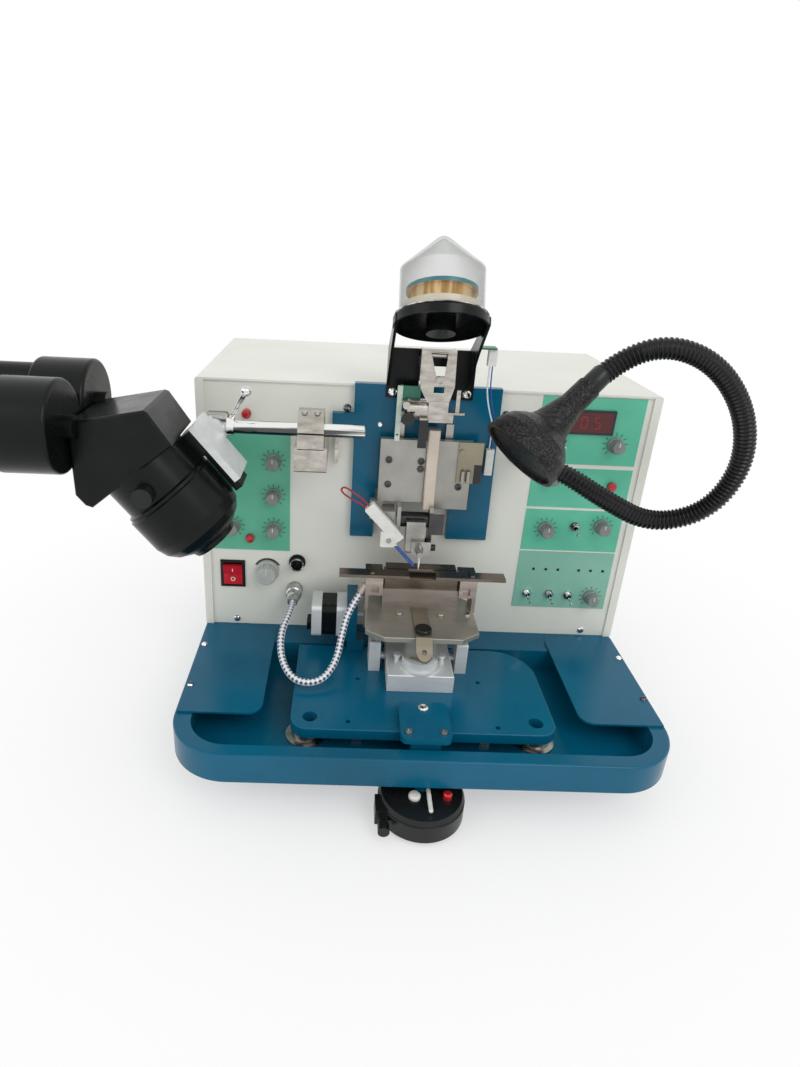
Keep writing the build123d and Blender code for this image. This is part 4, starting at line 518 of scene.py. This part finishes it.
def braidMaterial(settings):
    # woven glass sleeve: pale strands with dark flecks that wind round the cable, on the tube's own UV
    material, tree, shader, where = newMaterial("wovenSleeve")
    mapping = tree.nodes.new("ShaderNodeMapping")
    mapping.inputs["Scale"].default_value = (settings["along"], settings["around"], 1)
    tree.links.new(where.outputs["UV"], mapping.inputs["Vector"])
    split = tree.nodes.new("ShaderNodeSeparateXYZ")
    tree.links.new(mapping.outputs["Vector"], split.inputs["Vector"])
    across, along = split.outputs["Y"], split.outputs["X"]
    strands = [mathNode(tree, "SINE", mathNode(tree, "ADD", along, across)),
               mathNode(tree, "SINE", mathNode(tree, "SUBTRACT", along, across))]
    weave = mathNode(tree, "MULTIPLY", *strands)
    level = rangeNode(tree, weave, -1, 1, 0, 1)
    ramp = rampNode(tree, level.outputs["Result"], [
        (0.0, settings["dark"]), (0.24, settings["dark"]), (0.38, settings["grey"]), (0.6, settings["pale"])])
    tree.links.new(ramp.outputs["Color"], shader.inputs["Base Color"])
    bumpNode(tree, shader, level.outputs["Result"], 0.6, 0.0005)
    shader.inputs["Roughness"].default_value = 0.5
    shader.inputs["Metallic"].default_value = 0.2
    return material


def glowMaterial(name, colour, other, roughness, glow):
    material, tree, shader, where = newMaterial(name)
    tone = noiseNode(tree, where, 300, 2)
    ramp = rampNode(tree, tone.outputs["Fac"], [(0.3, other), (0.7, colour)])
    tree.links.new(ramp.outputs["Color"], shader.inputs["Base Color"])
    shader.inputs["Roughness"].default_value = roughness
    if glow:
        shader.inputs["Emission Color"].default_value = (*colour, 1)
        shader.inputs["Emission Strength"].default_value = glow
    return material


paint["spoolWinding"] = spoolMaterial(spoolLook)
paint["clearCover"] = clearMaterial({"colour": (0.26, 0.28, 0.26), "other": (0.17, 0.19, 0.17),
                                     "thin": 0.07, "thick": 0.50})
paint["wovenSleeve"] = braidMaterial({"along": 170, "around": 12.566, "dark": (0.05, 0.06, 0.10),
                                      "grey": (0.40, 0.44, 0.50), "pale": (0.80, 0.82, 0.85)})
paint["displayWindow"] = glowMaterial("displayWindow", (0.100, 0.003, 0.007), (0.070, 0.002, 0.005), 0.15, 0)
paint["litSegment"] = glowMaterial("litSegment", (0.26, 0.006, 0.008), (0.20, 0.004, 0.006), 0.3, 0.12)
paint["darkSegment"] = glowMaterial("darkSegment", (0.065, 0.003, 0.004), (0.05, 0.002, 0.003), 0.3, 0)
paint["litRocker"] = glowMaterial("litRocker", (0.42, 0.008, 0.016), (0.30, 0.005, 0.010), 0.2, 0.25)

nodeFinish = {
    "rubber_feet": "footRubber", "tray": "tealPaint", "cabinet_cover": "cabinetPaint",
    "front_panel": "cabinetPaint", "frame_screws": "brightChrome", "hand_rests": "tealPaint",
    "head_plate": "tealPaint", "spool_bracket": "blackEnamel", "rod_bracket": "feedSteel",
    "guide_rails": "groundSteel", "cross_carriage": "groundSteel", "stage_plate": "tealPaint",
    "hand_control_body": "blackPlastic", "step_rails": "satinSilver",
    "hand_control_white_button": "whitePlastic", "hand_control_red_button": "redPlastic",
    "hand_control_lever": "whitePlastic", "step_carriage": "satinSilver", "work_table": "tableSteel",
    "clamp_knob": "blackPlastic", "wire_spool": "spoolWinding", "spool_cover": "clearCover",
    "microscope_rod": "brightChrome", "rod_end_block": "brightChrome", "focus_mount": "satinSilver",
    "microscope_body": "blackEnamel", "zoom_knob": "blackPlastic", "near_ocular": "blackEnamel",
    "far_ocular": "blackEnamel", "lamp_head": "lampEnamel", "power_rocker": "litRocker",
    "lamp_gooseneck": "blackRubber", "heater_cable": "wovenSleeve", "knob_light": "palePlastic",
}
kindFinish = {"knob": "greyPlastic", "button": "redPlastic", "toggle": "brightChrome"}
for name, node in nodes.items():
    look = name if name in zonedNodes else nodeFinish.get(name) or kindFinish[name.split("_")[0]]
    node.data.materials.clear()
    node.data.materials.append(paint[look])
print("finishes on the frame")


# Gooseneck: a corrugated sleeve on the same line as the solid
gooseneck = {
    "points": [(91.0, -6.0, 273.0), (92.0, -40.0, 277.0), (119.0, -62.0, 273.0), (156.0, -68.0, 252.0),
               (201.0, -70.0, 231.0), (246.0, -76.0, 247.0), (265.0, -80.0, 291.0), (253.0, -83.0, 339.0),
               (218.0, -85.0, 379.0), (174.0, -83.0, 393.0)],
    "rim": (62.5, -108.0, 302.5), "axis": (0.687, 0.284, 0.668), "lampLength": 80.0, "gap": 0.3,
    "radius": 9.0, "root": 7.6, "pitch": 3.6, "sides": 28, "sleeve": 14.0, "overlap": 1.5,
    "ribHalf": 0.32, "ribCuts": (0.2, 0.36, 0.5, 0.64, 0.8),
    "flangeRadius": 13, "flangeFront": -2.4, "nutRadius": 11, "nutFront": -7.5,
}
lampAxis = Vector(gooseneck["axis"]).normalized()
neckEnd = Vector(gooseneck["rim"]) + lampAxis * (gooseneck["lampLength"] + gooseneck["gap"])
neckLine = smoothLine(gooseneck["points"] + [neckEnd + lampAxis * 28, neckEnd], "neckLine")
neckLength = lengthOf(placesAlong(neckLine))


def ribbedTube(settings, length):
    # one rib is made from a short cylinder and repeated along X
    deselectAll()
    pitch, radius, root = settings["pitch"] * mm, settings["radius"] * mm, settings["root"] * mm
    bpy.ops.mesh.primitive_cylinder_add(radius=root, depth=pitch, vertices=settings["sides"],
                                        end_fill_type="NOTHING", location=(pitch / 2, 0, 0),
                                        rotation=(0, math.pi / 2, 0))
    rib = bpy.context.object
    bpy.ops.object.transform_apply(location=True, rotation=True, scale=True)
    bpy.ops.object.mode_set(mode="EDIT")
    for share in settings["ribCuts"]:
        bpy.ops.mesh.select_all(action="SELECT")
        bpy.ops.mesh.bisect(plane_co=(pitch * share, 0, 0), plane_no=(1, 0, 0))
    bm = bmesh.from_edit_mesh(rib.data)
    half = settings["ribHalf"]
    for vertex in bm.verts:
        off = abs(vertex.co.x / pitch - 0.5)
        swell = max(0.0, math.cos(off * math.pi / (2 * half))) ** 0.6 if off < half else 0
        factor = (root + (radius - root) * swell) / root
        vertex.co.y *= factor
        vertex.co.z *= factor
    bmesh.update_edit_mesh(rib.data)
    bpy.ops.object.mode_set(mode="OBJECT")
    count = int(length / pitch)
    repeat = rib.modifiers.new("repeat", "ARRAY")
    repeat.count = count
    repeat.use_relative_offset = False
    repeat.use_constant_offset = True
    repeat.constant_offset_displace = (length / count, 0, 0)
    repeat.use_merge_vertices = True
    repeat.merge_threshold = 0.0004
    applyModifiers(rib)
    return rib


neck = ribbedTube(gooseneck, neckLength - gooseneck["sleeve"] * mm)
neck = bentAlong(neck, neckLine, "gooseneckSleeve")
makeActive(neck)
bpy.ops.object.mode_set(mode="EDIT")
bpy.ops.mesh.select_all(action="SELECT")
bpy.ops.mesh.remove_doubles(threshold=0.00005)
bpy.ops.mesh.select_all(action="DESELECT")
bpy.ops.mesh.select_non_manifold()
bpy.ops.mesh.fill_holes(sides=64)
bpy.ops.mesh.select_all(action="SELECT")
bpy.ops.mesh.normals_make_consistent(inside=False)
bpy.ops.object.mode_set(mode="OBJECT")
neck.data.materials.append(paint["blackRubber"])
sleeveStart = neckEnd + lampAxis * (gooseneck["sleeve"] + gooseneck["overlap"])
endSleeve = addBar(sleeveStart, neckEnd, gooseneck["radius"], sides=36, bevel=0.8)
endSleeve.data.materials.append(paint["blackPlastic"])
root = Vector(gooseneck["points"][0])
root.y = 0
flangeEnd, nutEnd = (root + Vector((0, gooseneck[front], 0)) for front in ("flangeFront", "nutFront"))
flange = addBar(root, flangeEnd, gooseneck["flangeRadius"], sides=40, bevel=0.6)
nut = addBar(flangeEnd, nutEnd, gooseneck["nutRadius"], sides=6, bevel=0.5)
for part in (flange, nut):
    part.data.materials.append(paint["groundSteel"])
neck = joined([neck, endSleeve, flange, nut], "gooseneckSleeve")
bpy.ops.object.shade_smooth_by_angle(angle=math.radians(50))
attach(neck, "base")
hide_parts("lamp_gooseneck")
print("gooseneck", round(neckLength * 1000), "mm")


# Heater cable: woven sleeve from the round plug to the gland on the heater's bracket
heaterCable = {
    "points": [(-125.5, -29.3, 111.5), (-125.5, -46.0, 111.5), (-133.5, -72.0, 103.0), (-131.0, -97.0, 88.5),
               (-116.5, -118.0, 79.5), (-92.5, -118.0, 79.5), (-78.5, -97.0, 88.5), (-74.0, -74.0, 106.0),
               (-68.0, -59.0, 123.5), (-57.659, -54.076, 139.257)],
    "radius": 3.2, "sides": 20, "steps": 160,
}
cableLine = smoothLine(heaterCable["points"], "cableLine")
cablePlaces = placesAlong(cableLine)
cableLength = lengthOf(cablePlaces)
deselectAll()
bpy.ops.mesh.primitive_grid_add(size=1, x_subdivisions=heaterCable["steps"],
                                y_subdivisions=heaterCable["sides"])
cable = bpy.context.object
bpy.ops.object.mode_set(mode="EDIT")
bm = bmesh.from_edit_mesh(cable.data)
for vertex in bm.verts:
    along, around = vertex.co.x + 0.5, (vertex.co.y + 0.5) * 2 * math.pi
    vertex.co = (along * cableLength, heaterCable["radius"] * mm * math.sin(around),
                 heaterCable["radius"] * mm * math.cos(around))
bmesh.update_edit_mesh(cable.data)
bpy.ops.mesh.select_all(action="SELECT")
bpy.ops.mesh.remove_doubles(threshold=0.00001)
bpy.ops.mesh.select_all(action="DESELECT")
bpy.ops.mesh.select_non_manifold()
bpy.ops.mesh.fill_holes(sides=heaterCable["sides"] + 4)
bpy.ops.mesh.select_all(action="SELECT")
bpy.ops.mesh.normals_make_consistent(inside=False)
bpy.ops.object.mode_set(mode="OBJECT")
cable = bentAlong(cable, cableLine, "heaterCableSleeve")
bpy.ops.object.shade_smooth_by_angle(angle=math.radians(50))
cable.data.materials.append(paint["wovenSleeve"])
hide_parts("heater_cable")
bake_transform(cable)
print("heater cable", round(cableLength * 1000), "mm")


# Thin wires: two from the small board to the connector on the head plate, and a red loop on the torch
wires = {
    "paleWire": {"points": [(46.2, -30.5, 359.0), (46.2, -30.5, 350.0), (46.6, -28.5, 336.0),
                            (51.5, -25.0, 318.0), (58.0, -20.0, 303.0), (59.2, -11.5, 288.0),
                            (59.2, -11.0, 277.2)],
                 "radius": 0.7, "body": "base", "look": "paleWire", "slot": "white_plastic"},
    "blueWire": {"points": [(48.6, -30.5, 359.0), (48.6, -30.5, 350.0), (50.0, -27.0, 337.0),
                            (54.5, -23.5, 320.0), (60.5, -18.0, 305.0), (61.6, -11.5, 289.0),
                            (61.6, -11.0, 277.2)],
                 "radius": 0.6, "body": "base", "look": "blueSleeve", "slot": "black_plastic"},
    "redWire": {"points": [(-53.2, -40.8, 226.0), (-60.0, -40.8, 233.0), (-70.0, -40.2, 239.5),
                           (-77.5, -39.4, 244.0), (-81.0, -38.8, 240.0), (-76.0, -38.2, 234.5),
                           (-66.0, -38.0, 229.0), (-52.5, -38.4, 221.5)],
                "radius": 0.9, "body": "torch", "look": "redWire", "slot": "red_plastic"},
}


def addWire(name, settings):
    wire = smoothLine(settings["points"], name)
    length = lengthOf(placesAlong(wire))
    wire.data.bevel_depth = settings["radius"] * mm
    wire.data.bevel_resolution = 3
    wire.data.use_fill_caps = True
    finished(wire, settings["body"], settings["look"])
    return length


for name, settings in wires.items():
    print(name, round(addWire(name, settings) * 1000), "mm")


# Dial marks round the knobs, one tick copied round each centre, and a white pointer on each knob
smallKnobs = ["search_height_1", "bond_power_1", "bond_time_1", "bond_force_1", "temperature",
              "spark_current", "spark_time", "tail_length", "loop_height"]
dials = {"ticks": 11, "from": -140, "to": 140, "inner": 9.2, "outer": 12.2, "width": 0.62, "front": -0.8,
         "height": 0.12, "pointer": (0.42, 0.8), "pointerFrom": 1.2, "pointerShare": 0.7}
tickBlock = addBlock((-dials["width"] / 2, dials["front"] - dials["height"], dials["inner"]),
                     (dials["width"] / 2, dials["front"], dials["outer"]), bevel=0.03, segments=1)
marks = []
for name in smallKnobs + ["light"]:
    low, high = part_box("knob_" + name)
    middle, radius = (low + high) / 2, (high.x - low.x) / 2
    half, depth = dials["pointer"]
    front, reach = low.y / mm, radius / mm * dials["pointerShare"]
    pointer = addBlock((-half, front - dials["height"], dials["pointerFrom"]), (half, front + depth, reach),
                       bevel=0.1)
    pointer.data.transform(Matrix.Translation((middle.x, 0, middle.z)))
    finished(settle(pointer, "pointer" + name.title().replace("_", "")), f"knob_{name}_body",
             "whitePlastic")
    if name == "light":
        continue
    for tick in range(dials["ticks"]):
        turn = math.radians(dials["from"] + (dials["to"] - dials["from"]) * tick / (dials["ticks"] - 1))
        place = Matrix.Translation((middle.x, 0, middle.z)) @ Matrix.Rotation(turn, 4, "Y")
        marks.append(placedCopy(tickBlock, place))
bpy.data.objects.remove(tickBlock)
finished(joined(marks, "dialMarks"), "base", "blackInk")


# Thin rings: nut of the free socket, a bright ring along the spool seat's edge that paints its highlight, and
# the printed arc above the light knob
lightLow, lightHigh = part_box("knob_light")
lightCentre = (lightLow + lightHigh) / 2 / mm
rings = {
    "socketRing": {"major": 6.45, "minor": 0.75, "place": (-123.0, -8.0, 143.0), "tilt": 90.0,
                   "look": "brightChrome", "slot": "milled_aluminium"},
    # the seat's edge is real; this bright ring along it is a painted highlight
    "seatRimHighlight": {"major": 38.3, "minor": 0.5, "place": (-4.3, -60.0, 402.0), "tilt": -25.9,
                "look": "brightChrome", "slot": "milled_aluminium"},
    "lightArc": {"major": 13.4, "minor": 0.9, "cut": 6.5, "tilt": 90.0,
                 "place": (lightCentre.x, -0.8, lightCentre.z),
                 "look": "blackInk", "slot": "black_plastic"},
}
for name, settings in rings.items():
    deselectAll()
    bpy.ops.mesh.primitive_torus_add(major_radius=settings["major"] * mm, minor_radius=settings["minor"] * mm,
                                     major_segments=72, minor_segments=12)
    band = bpy.context.object
    bpy.ops.object.mode_set(mode="EDIT")
    if "cut" in settings:
        # only the upper part of the ring is kept, and flat
        bpy.ops.transform.resize(value=(1, 1, 0.2))
        bpy.ops.mesh.select_all(action="SELECT")
        bpy.ops.mesh.bisect(plane_co=(0, settings["cut"] * mm, 0), plane_no=(0, 1, 0),
                            clear_inner=True, use_fill=True)
    bpy.ops.object.mode_set(mode="OBJECT")
    band.data.transform(Matrix.Translation(Vector(settings["place"]) * mm)
                        @ Matrix.Rotation(math.radians(settings["tilt"]), 4, "X"))
    bpy.ops.object.shade_smooth_by_angle(angle=math.radians(50))
    finished(settle(band, name), "base", settings["look"])


# Small lamps above the lower toggles, and the two marks on the rocker
smallLamps = {"places": [124.1, 137.1, 149.8, 171.8, 184.4, 197.3], "z": 145.6, "front": -0.8, "radius": 1.5}
lamps = []
for x in smallLamps["places"]:
    deselectAll()
    bpy.ops.mesh.primitive_uv_sphere_add(segments=20, ring_count=12, radius=smallLamps["radius"] * mm)
    dome = bpy.context.object
    bpy.ops.object.mode_set(mode="EDIT")
    bpy.ops.mesh.select_all(action="SELECT")
    bpy.ops.mesh.bisect(plane_co=(0, 0, 0), plane_no=(0, 1, 0), clear_outer=True, use_fill=True)
    bpy.ops.object.mode_set(mode="OBJECT")
    dome.data.transform(Matrix.Translation(Vector((x, smallLamps["front"], smallLamps["z"])) * mm))
    bpy.ops.object.shade_smooth_by_angle(angle=math.radians(50))
    lamps.append(dome)
finished(joined(lamps, "statusLamps"), "base", "blackPlastic")

rocker = {"place": (-190.0, 0.0, 127.2), "tilt": 8.0, "pivot": 1.5, "slope": 7.7, "front": -2.83, "mark": 5.6}
rockerTurn = (Matrix.Translation(Vector(rocker["place"]) * mm)
              @ Matrix.Translation((0, rocker["pivot"] * mm, 0))
              @ Matrix.Rotation(math.radians(rocker["tilt"]), 4, "X")
              @ Matrix.Translation((0, -rocker["pivot"] * mm, 0)))
stroke = addBlock((-0.45, -0.15, -2.1), (0.45, 0.1, 2.1), bevel=0.08)
deselectAll()
bpy.ops.mesh.primitive_torus_add(major_radius=2.0 * mm, minor_radius=0.42 * mm, major_segments=32,
                                 minor_segments=8, rotation=(math.pi / 2, 0, 0))
ring = bpy.context.object
bpy.ops.object.transform_apply(location=True, rotation=True, scale=True)
ring.data.transform(Matrix.Diagonal((1, 0.35, 1, 1)))
for mark, side in ((stroke, 1), (ring, -1)):
    markPlace = Vector((0, rocker["front"], side * rocker["mark"])) * mm
    mark.data.transform(rockerTurn @ Matrix.Translation(markPlace)
                        @ Matrix.Rotation(math.radians(side * rocker["slope"]), 4, "X"))
finished(joined([stroke, ring], "rockerMarks"), "rocker", "whitePlastic")


# Socket screws: one is modelled looking forward, and copied to the slide, the table and the bracket
screws = {
    "slideScrews": ("head", "forward", "darkSteel", 3.3, [
        (-36.4, -21.6, 266.0), (-36.0, -21.6, 241.5), (-6.0, -21.6, 265.6), (-6.0, -21.6, 258.0),
        (31.5, -21.6, 241.3)]),
    "tableScrew": ("work_holder", "up", "brightChrome", 2.4, [(46.5, -66.0, 126.0)]),
    "bracketScrews": ("stage", "up", "groundSteel", 3.0, [(-15.0, -178.0, 77.0), (15.0, -178.0, 77.0)]),
}
deselectAll()
bpy.ops.mesh.primitive_cylinder_add(radius=mm, depth=0.62 * mm, vertices=30, location=(0, -0.31 * mm, 0),
                                    rotation=(math.pi / 2, 0, 0))
screw = bpy.context.object
bpy.ops.object.transform_apply(location=True, rotation=True, scale=True)
bpy.ops.object.mode_set(mode="EDIT")
bpy.ops.mesh.select_mode(type="FACE")
bm = bmesh.from_edit_mesh(screw.data)
for face in bm.faces:
    face.select = face.normal.y < -0.9
bmesh.update_edit_mesh(screw.data)
bpy.ops.mesh.bevel(offset=0.12 * mm, segments=2)
bpy.ops.mesh.select_all(action="DESELECT")
bm = bmesh.from_edit_mesh(screw.data)
for face in bm.faces:
    face.select = face.normal.y < -0.99
bmesh.update_edit_mesh(screw.data)
bpy.ops.mesh.inset(thickness=0.36 * mm)
bpy.ops.mesh.extrude_region_move(TRANSFORM_OT_translate={"value": (0, 0.36 * mm, 0)})
bpy.ops.object.mode_set(mode="OBJECT")
for name, (body, looks, colour, radius, places) in screws.items():
    tilt = Matrix.Identity(4) if looks == "forward" else Matrix.Rotation(math.radians(-90), 4, "X")
    copies = [placedCopy(screw, Matrix.Translation(Vector(place) * mm) @ tilt @ Matrix.Scale(radius, 4))
              for place in places]
    group = joined(copies, name)
    bpy.ops.object.shade_smooth_by_angle(angle=math.radians(35))
    finished(group, body, colour)
bpy.data.objects.remove(screw)
print("marks, lamps and screws")


# Temperature display: dark window with unlit and lit segments
display = {"low": (124.0, -3.55, 295.0), "high": (176.0, -2.6, 314.5), "pitch": 13.0, "number": "205",
           "height": 12.0, "width": 6.4, "bar": 1.3, "first": 132.0, "bottom": 298.8}
window = settle(addBlock(display["low"], display["high"], bevel=0.12), "displayWindow")
finished(window, "base", "displayWindow")
segments = {"0": "abcdef", "2": "abged", "5": "afgcd"}


def segmentBlock(letter, left, bottom):
    w, h, b = display["width"], display["height"], display["bar"]
    across = {"a": h - b, "g": (h - b) / 2, "d": 0}
    upright = {"f": (0, h / 2), "b": (w - b, h / 2), "e": (0, b / 2), "c": (w - b, b / 2)}
    front = display["low"][1]
    if letter in across:
        z0 = bottom + across[letter]
        return addBlock((left + b * 0.7, front - 0.1, z0), (left + w - b * 0.7, front, z0 + b), bevel=0.03)
    dx, dz = upright[letter]
    return addBlock((left + dx, front - 0.1, bottom + dz + b * 0.2),
                    (left + dx + b, front, bottom + dz + h / 2 - b * 0.7), bevel=0.03)


litBars, darkBars = [], []
for place, digit in enumerate(display["number"]):
    left = display["first"] + place * display["pitch"]
    for letter in "abcdefg":
        bar = segmentBlock(letter, left, display["bottom"])
        (litBars if letter in segments[digit] else darkBars).append(bar)
finished(joined(litBars, "displayLitBars"), "base", "litSegment")
finished(joined(darkBars, "displayDarkBars"), "base", "darkSegment")
print("display")


# Lights, floor and background
studio = {"world": 0.86, "key": 11.0, "fill": 4.5, "floorTone": (0.92, 0.92, 0.92)}
world = bpy.data.worlds.new("studio")
bpy.context.scene.world = world
world.use_nodes = True
tree = world.node_tree
background = tree.nodes["Background"]
rays = tree.nodes.new("ShaderNodeLightPath")
seen = mathNode(tree, "MAXIMUM", rays.outputs["Is Camera Ray"], rays.outputs["Is Transmission Ray"])
seen = mathNode(tree, "MAXIMUM", seen, rays.outputs["Is Glossy Ray"])
strength = rangeNode(tree, seen, 0, 1, studio["world"], 1.0)
background.inputs["Color"].default_value = (1, 1, 1, 1)
tree.links.new(strength.outputs["Result"], background.inputs["Strength"])


def softBox(name, place, aim, size, power):
    bpy.ops.object.light_add(type="AREA", location=place)
    lamp = bpy.context.object
    lamp.name = name
    lamp.data.shape = "DISK"
    lamp.data.size = size
    lamp.data.energy = power
    lamp.rotation_euler = (Vector(aim) - Vector(place)).to_track_quat("-Z", "Y").to_euler()
    return lamp


softBox("keyBox", (0.9, -1.5, 1.7), (0, 0, 0.2), 1.2, studio["key"])
softBox("fillBox", (-1.6, -0.9, 1.2), (0, 0, 0.2), 1.4, studio["fill"])

deselectAll()
bpy.ops.mesh.primitive_plane_add(size=60, location=(0, 0, -0.0002))
floor = bpy.context.object
floor.name = "studioFloor"
material, tree, shader, where = newMaterial("studioFloor")
shader.inputs["Roughness"].default_value = 0.9
shader.inputs["Specular IOR Level"].default_value = 0.1
speck = noiseNode(tree, where, 3, 2)
tone = studio["floorTone"]
ramp = rampNode(tree, speck.outputs["Fac"], [(0.3, [c * 0.99 for c in tone]), (0.7, tone)])
tree.links.new(ramp.outputs["Color"], shader.inputs["Base Color"])
glow = tree.nodes.new("ShaderNodeEmission")
glow.inputs["Color"].default_value = (1, 1, 1, 1)
mix = tree.nodes.new("ShaderNodeMixShader")
distance = tree.nodes.new("ShaderNodeVectorMath")
distance.operation = "LENGTH"
tree.links.new(where.outputs["Object"], distance.inputs[0])
far = rangeNode(tree, distance.outputs["Value"], 0.18, 0.62, 0.45, 1.0)
rays = tree.nodes.new("ShaderNodeLightPath")
seen = mathNode(tree, "MAXIMUM", rays.outputs["Is Camera Ray"], rays.outputs["Is Glossy Ray"])
tree.links.new(mathNode(tree, "MULTIPLY", far.outputs["Result"], seen), mix.inputs["Fac"])
tree.links.new(shader.outputs["BSDF"], mix.inputs[1])
tree.links.new(glow.outputs["Emission"], mix.inputs[2])
tree.links.new(mix.outputs["Shader"], tree.nodes["Material Output"].inputs["Surface"])
floor.data.materials.append(material)
bpy.context.scene.view_settings.view_transform = "Standard"
print("lights and floor")
